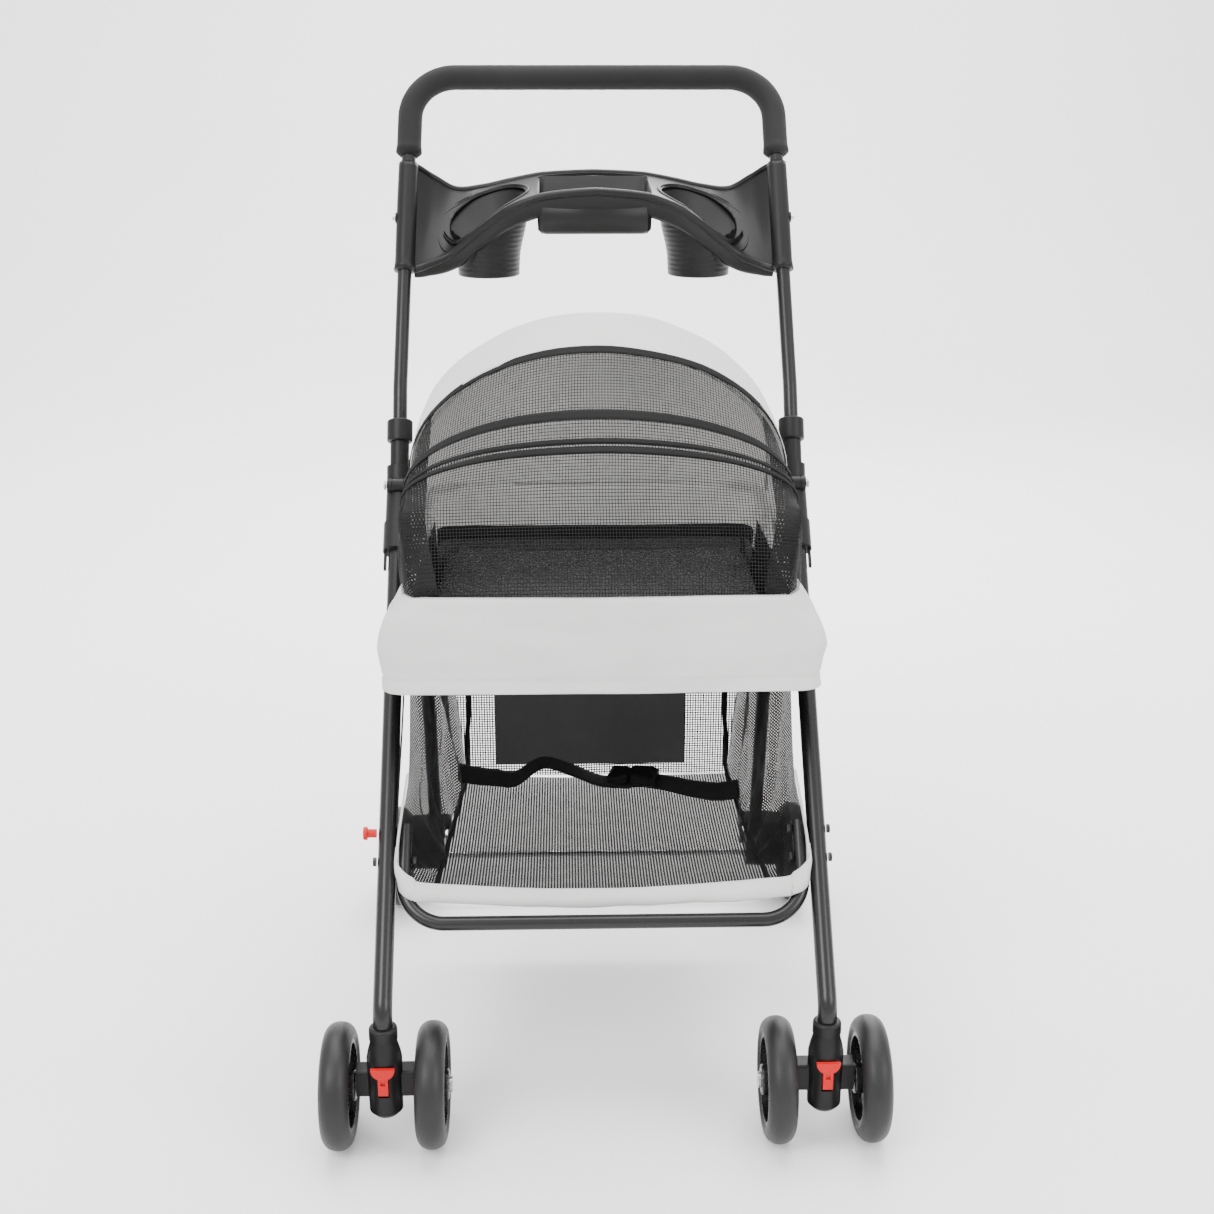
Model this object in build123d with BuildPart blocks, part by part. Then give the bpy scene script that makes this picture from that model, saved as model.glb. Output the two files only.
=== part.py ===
from build123d import *
import math
import os

# Folding pet stroller with a fabric cabin, a mesh window, a mesh basket, a cup tray,
# twin swivelling front wheels and single rear wheels. Millimetres, +Z up, the front faces -Y.
# Y values below are measured back from the front axle. at() and the plane helpers shift them
# so that the whole stroller is centred over the origin, with the floor at Z = 0.

os.makedirs("parts", exist_ok=True)

# ---------------------------------------------------------------- driving dimensions
front_axle_y = -290.0        # row-frame Y of the front axle
wheel_r = 62.0
tyre_width = 29.0
tyre_inner_r = 45.0
hub_r = 15.0
hub_length = 33.0
spoke_count = 5
axle_r = 4.0
axle_bore_r = 4.06
caster_x = 217.0
caster_pivot_y = -6.0
twin_offset = 46.0           # from the caster's middle to each twin wheel's middle
caster_body_r = 16.5
socket_top_z = 132.0
caster_bottom_z = 36.0
caster_top_z = 119.0
rear_axle_y = 506.0
rear_wheel_x = 250.0

lane_x = 220.0               # middle of the front legs and the handle tubes
rear_lane_x = 201.0          # the rear legs fold just inboard of the front legs
seat_lane_x = 183.0          # the seat tube runs inboard of the rear legs
seat_flare_x = 205.0         # and widens in front of the front legs
inner_flat = 10.5            # the fold joints are flat on the inside, clear of the rear legs
leg_r = 9.5
handle_r = 8.0
rear_leg_r = 8.0
seat_tube_r = 8.0
brace_r = 7.2
wall = 1.2

leg_bend = (-6.0, 146.0)     # where the front leg leaves the vertical
joint = (389.0, 570.0)       # where the leg and the handle tube meet
handle_bend = (445.0, 675.0)
handle_top = (631.0, 1005.0)
handle_top_x = 211.0
handle_corner_r = 52.0
knuckle_r = 14.0
hinge_offset = 13.0          # the fold hinge lies this far in front of the tubes
arm_reach = (15.0, -48.0)    # from the fold hinge to the rear leg's top eye
pin_r = 3.0
pin_bore_r = 3.05
seat_z = 436.0
seat_front_y = 130.0
seat_rear_y = 505.0
cabin_half_width = 190.0
canopy_half_width = 203.0

leg_angle = math.degrees(math.atan2(joint[1] - leg_bend[1], joint[0] - leg_bend[0]))
handle_angle = math.degrees(math.atan2(handle_bend[1] - joint[1], handle_bend[0] - joint[0]))
split_angle = (leg_angle + handle_angle) / 2
sides = {"left": -1, "right": 1}


# ---------------------------------------------------------------- helpers
def at(x, y, z):
    """A point given by its Y behind the front axle."""
    return Vector(x, front_axle_y + y, z)


def across(x, y=0.0, z=0.0):
    """A plane facing +X, whose own axes are Y and Z."""
    return Plane(origin=at(x, y, z), x_dir=(0, 1, 0), z_dir=(1, 0, 0))


def along(x, y, z, angle):
    """A plane facing along a tube that climbs backwards at the angle. Its own -Y is the tube's front."""
    rise = (0, math.cos(math.radians(angle)), math.sin(math.radians(angle)))
    return Plane(origin=at(x, y, z), x_dir=(1, 0, 0), z_dir=rise)


def on_line(start, angle, distance):
    """The (y, z) place a distance along a line from start."""
    turn = math.radians(angle)
    return (start[0] + distance * math.cos(turn), start[1] + distance * math.sin(turn))


def finish(piece, name):
    """Label a finished piece and write it."""
    piece.part.label = name
    export_step(piece.part, f"parts/{name}.step")


def bent_tube(points, radii, outer_r, inner_r=0.0):
    """A round tube swept along straight runs joined by arcs."""
    with BuildPart() as tube:
        with BuildLine() as path:
            if radii:
                FilletPolyline(*points, radius=radii)
            else:
                Polyline(*points)
        with BuildSketch(Plane(path.line @ 0, z_dir=path.line % 0)):
            Circle(outer_r)
            if inner_r > 0:
                Circle(inner_r, mode=Mode.SUBTRACT)
        sweep()
    return tube


def pins(centres, radius, length):
    """Round pins along X, centred on the given points, with a domed head on the outer end."""
    with BuildPart() as group:
        for centre in centres:
            out = math.copysign(1, centre.X)
            with Locations(Location(centre, (0, 90, 0))):
                Cylinder(radius, length)
            head = centre + Vector(out * (length / 2 + 1), 0, 0)
            with Locations(Location(head, (0, 90, 0))):
                Cylinder(radius * 1.7, 2)
    return group


hinge = (joint[0] - hinge_offset * math.sin(math.radians(split_angle)),
         joint[1] + hinge_offset * math.cos(math.radians(split_angle)))
arm_pin = (hinge[0] + arm_reach[0], hinge[1] + arm_reach[1])
rear_slope = (rear_axle_y - arm_pin[0]) / (wheel_r - arm_pin[1])
seat_rear_pin = (arm_pin[0] + rear_slope * (seat_z - arm_pin[1]), seat_z)
seat_front_pin = (leg_bend[0] + (seat_z - leg_bend[1]) / math.tan(math.radians(leg_angle)), seat_z)
rear_angle = math.degrees(math.atan2(wheel_r - arm_pin[1], rear_axle_y - arm_pin[0]))


# ---------------------------------------------------------------- front frame
def front_leg(x):
    """A front leg: upright in the caster, then sloping back to the fold joint."""
    foot = at(math.copysign(caster_x, x), caster_pivot_y, caster_top_z + 4)
    lift = at(math.copysign(caster_x, x), caster_pivot_y, leg_bend[1])
    top = at(x, *on_line(joint, leg_angle, -30))
    with BuildPart() as leg:
        with BuildLine() as path:
            FilletPolyline(foot, lift, top, radius=30)
        with BuildSketch(Plane(foot, z_dir=(0, 0, 1))):
            Circle(leg_r)
            Circle(leg_r - wall, mode=Mode.SUBTRACT)
        sweep()
        with BuildSketch(across(x - 15, *seat_front_pin)):
            Circle(pin_r)
        extrude(amount=30, mode=Mode.SUBTRACT)
    return leg


def leg_knuckle(x):
    """The fixed half of the fold joint: a socket on the leg with two ears round the hinge pin."""
    split_plane = Plane(at(x, *joint), z_dir=along(x, *joint, split_angle).z_dir)
    with BuildPart() as knuckle:
        with BuildSketch(along(x, *on_line(joint, leg_angle, -78), leg_angle)):
            Circle(knuckle_r + 1.5)
        extrude(amount=34)
        with BuildSketch(along(x, *on_line(joint, leg_angle, -46), leg_angle)):
            Circle(knuckle_r)
        extrude(amount=60)
        split(bisect_by=split_plane, keep=Keep.BOTTOM)
        for start in (-12.0, 6.5):
            with BuildSketch(across(x + start, *hinge)):
                Circle(8)
            extrude(amount=5.5)
        with BuildSketch(across(x - math.copysign(inner_flat, x), *joint)):
            Circle(200)
        extrude(amount=-math.copysign(20, x), mode=Mode.SUBTRACT)
        with BuildSketch(across(x - 6.3, *hinge)):
            Circle(8.6)
        extrude(amount=12.6, mode=Mode.SUBTRACT)
        leg_top = at(x, *on_line(joint, leg_angle, -30))
        leg_low = at(math.copysign(caster_x, x), *leg_bend)
        with BuildSketch(Plane(leg_top, z_dir=leg_low - leg_top)):
            Circle(leg_r)
        extrude(amount=60, mode=Mode.SUBTRACT)
        with BuildSketch(across(x - 20, *hinge)):
            Circle(pin_r)
        extrude(amount=40, mode=Mode.SUBTRACT)
        lever_place = on_line(joint, leg_angle, -84)
        with BuildSketch(across(x + math.copysign(12.4, x) - 1.4, *lever_place)):
            SlotCenterToCenter(26, 7, rotation=leg_angle)
        extrude(amount=2.8)
    return knuckle


def caster_socket(x):
    """The collar that the leg's foot stands in, with the steel kingpin below it."""
    base = Plane(at(x, caster_pivot_y, caster_top_z + 0.3), x_dir=(1, 0, 0), z_dir=(0, 0, 1))
    with BuildPart() as socket:
        with BuildSketch(base):
            Circle(14)
        extrude(amount=socket_top_z - caster_top_z)
        fillet(socket.edges().group_by(Axis.Z)[-1], 3)
        with BuildSketch(base.offset(3.7)):
            Circle(leg_r)
        extrude(amount=20, mode=Mode.SUBTRACT)
        with BuildSketch(base.offset(-44)):
            Circle(5.0)
        extrude(amount=44)
    return socket


with BuildPart() as front_brace:
    arm_x = caster_x - leg_r - brace_r + 0.2
    arm_top = on_line(leg_bend, leg_angle, 190)
    arm_low = on_line(leg_bend, leg_angle, 88)
    with BuildLine() as brace_path:
        FilletPolyline(at(-arm_x, *arm_top), at(-arm_x, *arm_low), at(arm_x, *arm_low), at(arm_x, *arm_top),
                       radius=42)
    with BuildSketch(Plane(brace_path.line @ 0, z_dir=brace_path.line % 0)):
        Circle(brace_r)
        Circle(brace_r - wall, mode=Mode.SUBTRACT)
    sweep()

upper_bolt = on_line(leg_bend, leg_angle, 182)
lower_bolt = on_line(leg_bend, leg_angle, 152)
with BuildPart() as brace_bolts:
    for bolt_x, place in ((-1, lower_bolt), (1, lower_bolt), (1, upper_bolt)):
        with BuildSketch(across(bolt_x * (lane_x + leg_r - 0.8) - (3.2 if bolt_x < 0 else 0), *place)):
            Circle(4.5)
        extrude(amount=3.2)
        with BuildSketch(across(bolt_x * (arm_x - brace_r - 2.2) - (0 if bolt_x < 0 else 2.2), *place)):
            RegularPolygon(5, 6)
        extrude(amount=2.2)

with BuildPart() as keeper_stud:
    with BuildSketch(across(-lane_x - leg_r - 9.4, *upper_bolt)):
        Circle(4.4)
    extrude(amount=9.4)
    with BuildSketch(across(-lane_x - leg_r - 13.5, *upper_bolt)):
        Circle(6.8)
    extrude(amount=4.1)
    fillet(keeper_stud.edges().filter_by(GeomType.CIRCLE).group_by(Axis.X)[0], 1.2)

for side, sign in sides.items():
    finish(front_leg(sign * lane_x), f"front_leg_{side}")
    finish(leg_knuckle(sign * lane_x), f"leg_knuckle_{side}")
    finish(caster_socket(sign * caster_x), f"caster_socket_{side}")
finish(front_brace, "front_brace")
finish(brace_bolts, "brace_bolts")
finish(keeper_stud, "keeper_stud")
finish(pins([at(s * (lane_x + 1.8), *hinge) for s in (-1, 1)], pin_r, 24), "fold_pins")


def seat_pins():
    """The pins that the seat tube turns on, each with a spacer between the leg and the seat tube."""
    inner = seat_lane_x - seat_tube_r - 1
    outer = lane_x + leg_r + 0.6
    with BuildPart() as group:
        for out in (-1, 1):
            with Locations(Location(at(out * (inner + outer) / 2, *seat_front_pin), (0, 90, 0))):
                Cylinder(pin_r, outer - inner)
            spacer = (seat_lane_x + seat_tube_r + 0.3, lane_x - leg_r - 1.6)
            with Locations(Location(at(out * sum(spacer) / 2, *seat_front_pin), (0, 90, 0))):
                Cylinder(6.5, spacer[1] - spacer[0])
            with Locations(Location(at(out * (outer + 1), *seat_front_pin), (0, 90, 0))):
                Cylinder(5, 2)
    return group


finish(seat_pins(), "seat_pins")


# ---------------------------------------------------------------- casters and wheels
def caster_fork(x):
    """The swivelling housing: bell neck, round body, square axle bosses and a slot for the lock lever."""
    axis_point = at(x, caster_pivot_y, 0)
    with BuildPart() as fork:
        with BuildSketch(Plane(axis_point, x_dir=(1, 0, 0), z_dir=(0, -1, 0))):
            with BuildLine():
                Polyline((0, caster_bottom_z), (12, caster_bottom_z), (caster_body_r, 41),
                         (caster_body_r + 1, 98), (16, 106), (12.5, caster_top_z), (0, caster_top_z),
                         (0, caster_bottom_z))
            make_face()
        revolve(axis=Axis(axis_point, (0, 0, 1)))
        with BuildSketch(across(x, 0, wheel_r + 7)):
            RectangleRounded(22, 28, 3)
        extrude(amount=twin_offset - hub_length / 2 - 1, both=True)
        with BuildSketch(Plane(at(x, caster_pivot_y, 74), z_dir=(0, 0, 1))):
            Circle(5.05)
        extrude(amount=60, mode=Mode.SUBTRACT)
        with BuildSketch(across(x, 0, wheel_r)):
            Circle(axle_r)
        extrude(amount=60, both=True, mode=Mode.SUBTRACT)
        with BuildSketch(Plane(at(x, caster_pivot_y - 20, 77), x_dir=(1, 0, 0), z_dir=(0, 1, 0))):
            Rectangle(10.6, 30)
        extrude(amount=11, mode=Mode.SUBTRACT)
    return fork


def lock_lever(x):
    """The red T-shaped lever that stops the caster from swivelling."""
    front = Plane(at(x, caster_pivot_y - caster_body_r - 1.3, 0), x_dir=(1, 0, 0), z_dir=(0, -1, 0))
    with BuildPart() as lever:
        with BuildSketch(front.offset(-8)):
            with Locations((0, 78)):
                Rectangle(9.8, 21)
        extrude(amount=10)
        with BuildSketch(front):
            with Locations((0, 96.5)):
                Circle(11.8)
            with Locations((0, 106.5)):
                Rectangle(30, 20, mode=Mode.SUBTRACT)
            with Locations((0, 78)):
                Rectangle(9.8, 21)
            with Locations((0, 81)):
                Rectangle(4.6, 4.4, mode=Mode.SUBTRACT)
        extrude(amount=4)
    return lever


def tyre(x, y):
    """A solid tyre with broad round shoulders."""
    half = tyre_width / 2
    with BuildPart() as ring:
        with BuildSketch(Plane(at(x, y, wheel_r), x_dir=(1, 0, 0), z_dir=(0, -1, 0))):
            with BuildLine():
                Polyline((-half + 2, tyre_inner_r), (half - 2, tyre_inner_r), (half, tyre_inner_r + 3))
                Spline((half, tyre_inner_r + 3), (half - 2.2, 56.5), (half - 7.5, wheel_r - 1.3), (0, wheel_r),
                       (-half + 7.5, wheel_r - 1.3), (-half + 2.2, 56.5), (-half, tyre_inner_r + 3))
                Line((-half, tyre_inner_r + 3), (-half + 2, tyre_inner_r))
            make_face()
        revolve(axis=Axis(at(x, y, wheel_r), (1, 0, 0)))
    return ring


def rim(x, y):
    """A moulded rim with curved spokes and a hub that stands out on both sides."""
    middle = Plane(at(x, y, wheel_r), x_dir=(0, 1, 0), z_dir=(1, 0, 0))
    with BuildPart() as wheel:
        with BuildSketch(middle):
            Circle(tyre_inner_r)
            Circle(tyre_inner_r - 4, mode=Mode.SUBTRACT)
        extrude(amount=tyre_width / 2 - 2, both=True)
        with BuildSketch(middle):
            Circle(tyre_inner_r - 3.5)
            with PolarLocations(28.5, spoke_count, start_angle=18):
                Circle(11, mode=Mode.SUBTRACT)
            with PolarLocations(34.5, spoke_count, start_angle=54):
                Circle(4.2, mode=Mode.SUBTRACT)
        extrude(amount=6, both=True)
        with BuildSketch(middle):
            Circle(hub_r)
        extrude(amount=hub_length / 2, both=True)
        fillet(wheel.edges().filter_by(GeomType.CIRCLE).group_by(Axis.X)[-1], 2)
        fillet(wheel.edges().filter_by(GeomType.CIRCLE).group_by(Axis.X)[0], 2)
        with BuildSketch(middle):
            Circle(axle_bore_r)
        extrude(amount=hub_length, both=True, mode=Mode.SUBTRACT)
    return wheel


def caster_axle(x):
    """The steel axle with a cap outside each twin wheel."""
    reach = twin_offset + hub_length / 2 + 0.6
    centre = at(x, 0, wheel_r)
    with BuildPart() as axle:
        with Locations(Location(centre, (0, 90, 0))):
            Cylinder(axle_r, 2 * reach)
        for side_sign in (-1, 1):
            with Locations(Location(centre + Vector(side_sign * (reach + 1.2), 0, 0), (0, 90, 0))):
                Cylinder(8.0, 2.4)
    return axle


caster_wheels = []
for side, sign in sides.items():
    x = sign * caster_x
    finish(caster_fork(x), f"caster_fork_{side}")
    finish(lock_lever(x), f"lock_lever_{side}")
    finish(caster_axle(x), f"caster_axle_{side}")
    for place, offset in (("outer", sign * twin_offset), ("inner", -sign * twin_offset)):
        finish(tyre(x + offset, 0), f"front_tyre_{side}_{place}")
        finish(rim(x + offset, 0), f"front_rim_{side}_{place}")
    finish(tyre(sign * rear_wheel_x, rear_axle_y), f"rear_tyre_{side}")
    finish(rim(sign * rear_wheel_x, rear_axle_y), f"rear_rim_{side}")


# ---------------------------------------------------------------- rear frame
leg_rise = rear_angle + 180
rear_leg_length = math.dist(arm_pin, (rear_axle_y, wheel_r))


def lug_span(x, near, far):
    """The lower X of a slab that runs from near to far, measured outwards from the lane."""
    return x + near if x > 0 else x - far


def rear_leg(x):
    """A rear leg with a flat eye at its top, next to the arm of the handle's fold joint."""
    with BuildPart() as leg:
        with BuildSketch(along(x, *on_line((rear_axle_y, wheel_r), leg_rise, 18), leg_rise)):
            Circle(rear_leg_r)
            Circle(rear_leg_r - wall, mode=Mode.SUBTRACT)
        extrude(amount=rear_leg_length - 18 - 14)
        with BuildSketch(across(lug_span(x, -4, 8), *on_line(arm_pin, rear_angle, 9))):
            SlotCenterToCenter(18, 15, rotation=rear_angle)
        extrude(amount=12)
        with BuildSketch(across(x - 12, *arm_pin)):
            Circle(pin_bore_r)
        extrude(amount=24, mode=Mode.SUBTRACT)
        with BuildSketch(across(x - 12, *seat_rear_pin)):
            Circle(pin_r)
        extrude(amount=24, mode=Mode.SUBTRACT)
    return leg


def rear_housing(x):
    """The moulded foot of a rear leg, which holds the axle and carries the brake pedal."""
    inner = rear_lane_x - rear_leg_r - 2.5
    outer = rear_wheel_x - hub_length / 2 - 0.8
    start = inner if x > 0 else -outer
    with BuildPart() as housing:
        with BuildSketch(across(start, rear_axle_y, wheel_r)):
            Circle(17)
            with Locations(on_line((0, 0), leg_rise, 26)):
                Rectangle(58, 22, rotation=leg_rise)
            with Locations((16, 8)):
                Rectangle(26, 14)
        extrude(amount=outer - inner)
        chamfer(housing.edges().filter_by(Axis.X, reverse=True).group_by(Axis.X)[-1], 1.2)
        chamfer(housing.edges().filter_by(Axis.X, reverse=True).group_by(Axis.X)[0], 1.2)
        with BuildSketch(along(x, *on_line((rear_axle_y, wheel_r), leg_rise, 18), leg_rise)):
            Circle(rear_leg_r)
        extrude(amount=60, mode=Mode.SUBTRACT)
        with BuildSketch(across(x - 60, rear_axle_y, wheel_r)):
            Circle(axle_r)
        extrude(amount=120, mode=Mode.SUBTRACT)
        with BuildSketch(across(x - 60, rear_axle_y + 23, wheel_r + 9)):
            Circle(2.5)
        extrude(amount=120, mode=Mode.SUBTRACT)
    return housing


def brake_pedal(x):
    """A foot pedal that turns on its own pin behind the housing."""
    inner = rear_lane_x - rear_leg_r - 2.5
    outer = rear_wheel_x - hub_length / 2 - 0.8
    pivot = (rear_axle_y + 23, wheel_r + 9)
    middle = math.copysign((inner + outer) / 2, x)
    middle_gap = (outer - inner) / 2 + 0.4
    with BuildPart() as pedal:
        arm_x = -middle_gap - 4 if x > 0 else middle_gap
        with BuildSketch(across(middle + arm_x, *pivot)):
            Circle(7)
            with Locations((14, 6)):
                Rectangle(32, 9, rotation=22)
        extrude(amount=4)
        with BuildSketch(across(middle - middle_gap - (4 if x > 0 else 0), *pivot)):
            with Locations((26, 14)):
                RectangleRounded(26, 8, 2.5, rotation=12)
        extrude(amount=2 * middle_gap + 4)
        with BuildSketch(across(middle - middle_gap - (4 if x > 0 else 0), *pivot)):
            Circle(2.45)
        extrude(amount=2 * middle_gap + 4)
    return pedal


with BuildPart() as rear_axle:
    end_x = rear_wheel_x + hub_length / 2 + 0.6
    with Locations(Location(at(0, rear_axle_y, wheel_r), (0, 90, 0))):
        Cylinder(axle_r, 2 * end_x)
    for cap_x in (-end_x - 1.2, end_x + 1.2):
        with Locations(Location(at(cap_x, rear_axle_y, wheel_r), (0, 90, 0))):
            Cylinder(9.0, 2.4)

for side, sign in sides.items():
    finish(rear_leg(sign * rear_lane_x), f"rear_leg_{side}")
    finish(rear_housing(sign * rear_lane_x), f"rear_housing_{side}")
    finish(brake_pedal(sign * rear_lane_x), f"brake_pedal_{side}")
finish(rear_axle, "rear_axle")
link_inner = seat_lane_x - seat_tube_r - 1
link_outer = rear_lane_x + rear_leg_r - 0.2
with BuildPart() as link_pins:
    for out in (-1, 1):
        with Locations(Location(at(out * (link_inner + link_outer) / 2, *seat_rear_pin), (0, 90, 0))):
            Cylinder(pin_r, link_outer - link_inner)
        with Locations(Location(at(out * (link_inner - 1), *seat_rear_pin), (0, 90, 0))):
            Cylinder(5, 2)
finish(link_pins, "link_pins")


# ---------------------------------------------------------------- handle
def handle_point(height, sign, push=0.0):
    """A point on the handle tube above its bend, at a height, pushed outwards along X if asked."""
    share = (height - handle_bend[1]) / (handle_top[1] - handle_bend[1])
    y = handle_bend[0] + share * (handle_top[0] - handle_bend[0])
    return at(sign * (lane_x + share * (handle_top_x - lane_x) + push), y, height)


handle_foot = on_line(joint, handle_angle, 12)
grip_end_z = 921.0
handle_tube = bent_tube([at(-lane_x, *handle_foot), at(-lane_x, *handle_bend), at(-handle_top_x, *handle_top),
                         at(handle_top_x, *handle_top), at(lane_x, *handle_bend), at(lane_x, *handle_foot)],
                        [90, handle_corner_r, handle_corner_r, 90], handle_r, handle_r - wall)
handle_grip = bent_tube([handle_point(grip_end_z, -1), at(-handle_top_x, *handle_top),
                         at(handle_top_x, *handle_top), handle_point(grip_end_z, 1)],
                        handle_corner_r, 14.0, handle_r)


def handle_knuckle(x):
    """The moving half of the fold joint: tongue, socket, ferrule and the arm that lifts the rear leg."""
    out = math.copysign(1, x)
    split_plane = Plane(at(x, *joint), z_dir=along(x, *joint, split_angle).z_dir)
    with BuildPart() as knuckle:
        with BuildSketch(along(x, *on_line(joint, handle_angle, -14), handle_angle)):
            Circle(knuckle_r)
        extrude(amount=40)
        split(bisect_by=split_plane.offset(0.3), keep=Keep.TOP)
        with BuildSketch(along(x, *on_line(joint, handle_angle, 25), handle_angle)):
            Circle(10.5)
        extrude(amount=29)
        for start in (-13.0, 6.2):
            with BuildSketch(across(x + start, *hinge)):
                Circle(8.8)
            extrude(amount=6.8 if start < 0 else 7.8, mode=Mode.SUBTRACT)
        with BuildSketch(across(x - 6.0, *hinge)):
            Circle(8)
        extrude(amount=12)
        with BuildSketch(across(x - out * inner_flat, *joint)):
            Circle(200)
        extrude(amount=-20 * out, mode=Mode.SUBTRACT)
        with BuildSketch(across(lug_span(x, -inner_flat, -inner_flat + 3.5), *joint)):
            with BuildLine():
                root_low = on_line((0, 0), handle_angle, 1.5)
                root_high = on_line((0, 0), handle_angle, 22)
                elbow = (24, 0)
                eye = (arm_pin[0] - joint[0], arm_pin[1] - joint[1])
                Polyline(root_low, (17, -10), (eye[0] - 7.5, eye[1]), (eye[0] + 7.5, eye[1]),
                         (elbow[0] + 9, -4), (root_high[0] + 9, root_high[1] - 3), root_high, root_low)
            make_face()
            with Locations(eye):
                Circle(7.5)
        extrude(amount=3.5)
        with BuildSketch(along(x, *handle_foot, handle_angle)):
            Circle(handle_r)
        extrude(amount=80, mode=Mode.SUBTRACT)
        with BuildSketch(across(x - 20, *hinge)):
            Circle(pin_bore_r)
        extrude(amount=40, mode=Mode.SUBTRACT)
        rivet_x = lug_span(x, -inner_flat + 3.5, -inner_flat + 5)
        with BuildSketch(across(rivet_x, *arm_pin)):
            Circle(4.5)
        extrude(amount=1.5)
    return knuckle


def fold_sleeve(x):
    """The sliding collar above the fold joint, pulled up to free it."""
    with BuildPart() as sleeve:
        with BuildSketch(along(x, *on_line(joint, handle_angle, 54.4), handle_angle)):
            Circle(14.3)
        extrude(amount=25)
        fillet(sleeve.edges().filter_by(GeomType.CIRCLE), 2.2)
        with BuildSketch(along(x, *on_line(joint, handle_angle, 40), handle_angle)):
            Circle(handle_r + 0.06)
        extrude(amount=60, mode=Mode.SUBTRACT)
    return sleeve


# ---------------------------------------------------------------- cup tray
# Each station across the tray: X, then the front edge's Y and Z, then the back edge's Y and Z.
tray_stations = [(0, 480, 886, 600, 899), (60, 484, 880, 601, 896), (98, 492, 865, 602, 889),
                 (130, 508, 841, 604, 882), (162, 522, 815, 602, 880), (190, 521, 802, 592, 896),
                 (208, 515, 797, 579, 908)]
tray_skin = 3.0
clamp_skin = 3.2
cup_x = 122.0
cup_y = 551.0
cup_top_r = 41.0
cup_foot_r = 36.0
cup_floor_z = 786.0
cup_wall = 2.5
pocket_half = 66.0
pocket_floor_z = 840.0


def tray_slab(sign, drop, lift):
    """The tray's curved sheet on one side, from drop below its top surface to lift above it."""
    with BuildPart() as slab:
        for x, front_y, front_z, back_y, back_z in tray_stations:
            with BuildSketch(across(sign * x)):
                with BuildLine():
                    Polyline((front_y, front_z - drop), (back_y, back_z - drop), (back_y, back_z + lift),
                             (front_y, front_z + lift), (front_y, front_z - drop))
                make_face()
        loft(ruled=True)
    return slab


with BuildPart() as cup_tray:
    for sign in (-1, 1):
        add(tray_slab(sign, tray_skin, 0))
        with BuildSketch(Plane(at(sign * cup_x, cup_y, cup_floor_z))):
            Circle(cup_foot_r)
        with BuildSketch(Plane(at(sign * cup_x, cup_y, 900))):
            Circle(cup_top_r)
        loft()
    with BuildSketch(Plane(at(0, 541, pocket_floor_z))):
        RectangleRounded(2 * pocket_half, 104, 8)
    extrude(amount=70)
    for sign in (-1, 1):
        add(tray_slab(sign, 0, 120), mode=Mode.SUBTRACT)
        clamp_ends = [handle_point(796, sign), handle_point(910, sign)]
        with BuildSketch(Plane(clamp_ends[0], z_dir=clamp_ends[1] - clamp_ends[0])):
            Circle(handle_r + clamp_skin)
        extrude(amount=(clamp_ends[1] - clamp_ends[0]).length)
        with BuildSketch(Plane(at(sign * cup_x, cup_y, cup_floor_z + cup_wall))):
            Circle(cup_foot_r - cup_wall)
        with BuildSketch(Plane(at(sign * cup_x, cup_y, 900))):
            Circle(cup_top_r - cup_wall)
        loft(mode=Mode.SUBTRACT)
        tube_ends = [handle_point(760, sign), handle_point(930, sign)]
        with BuildSketch(Plane(tube_ends[0], z_dir=tube_ends[1] - tube_ends[0])):
            Circle(handle_r)
        extrude(amount=(tube_ends[1] - tube_ends[0]).length, mode=Mode.SUBTRACT)
    with BuildSketch(Plane(at(0, 541, pocket_floor_z + cup_wall))):
        RectangleRounded(2 * pocket_half - 5, 99, 6)
    extrude(amount=100, mode=Mode.SUBTRACT)

with BuildPart() as tray_screws:
    for sign in (-1, 1):
        screw_point = handle_point(852, sign, handle_r + clamp_skin + 0.13)
        with BuildSketch(Plane(screw_point, z_dir=(sign, 0, 0))):
            Circle(4.6)
        extrude(amount=2.0)
        with BuildSketch(Plane(screw_point + Vector(sign * 2, 0, 0), z_dir=(sign, 0, 0))):
            Circle(2.6)
        extrude(amount=3.0)

for side, sign in sides.items():
    finish(handle_knuckle(sign * lane_x), f"handle_knuckle_{side}")
    finish(fold_sleeve(sign * lane_x), f"fold_sleeve_{side}")
finish(handle_tube, "handle_tube")
finish(handle_grip, "handle_grip")
finish(cup_tray, "cup_tray")
finish(tray_screws, "tray_screws")


# ---------------------------------------------------------------- seat frame and cabin
seat_top_z = seat_z + seat_tube_r
cabin_front_y = seat_front_y + seat_tube_r + 1
cabin_rear_y = seat_rear_y - seat_tube_r - 1
cabin_floor_z = seat_top_z + 0.8
rim_front_z = 519.0
rim_rear_z = 548.0
rim_rise = (300.0, 341.0)    # the cabin's rim climbs between these two Y values
cabin_wall = 4.0

with BuildPart() as seat_tube:
    with BuildLine() as seat_path:
        seat_corners = [(-seat_lane_x, seat_rear_y), (-seat_lane_x, 235), (-seat_flare_x, seat_front_y),
                        (seat_flare_x, seat_front_y), (seat_lane_x, 235), (seat_lane_x, seat_rear_y)]
        FilletPolyline(*[at(x, y, seat_z) for x, y in seat_corners], radius=30)
    with BuildSketch(Plane(seat_path.line @ 0, z_dir=seat_path.line % 0)):
        Circle(seat_tube_r)
        Circle(seat_tube_r - wall, mode=Mode.SUBTRACT)
    sweep()
    for pin_place, hole_r in ((seat_front_pin, pin_bore_r), (seat_rear_pin, pin_bore_r)):
        with BuildSketch(across(-lane_x, *pin_place)):
            Circle(hole_r)
        extrude(amount=2 * lane_x, mode=Mode.SUBTRACT)

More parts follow.
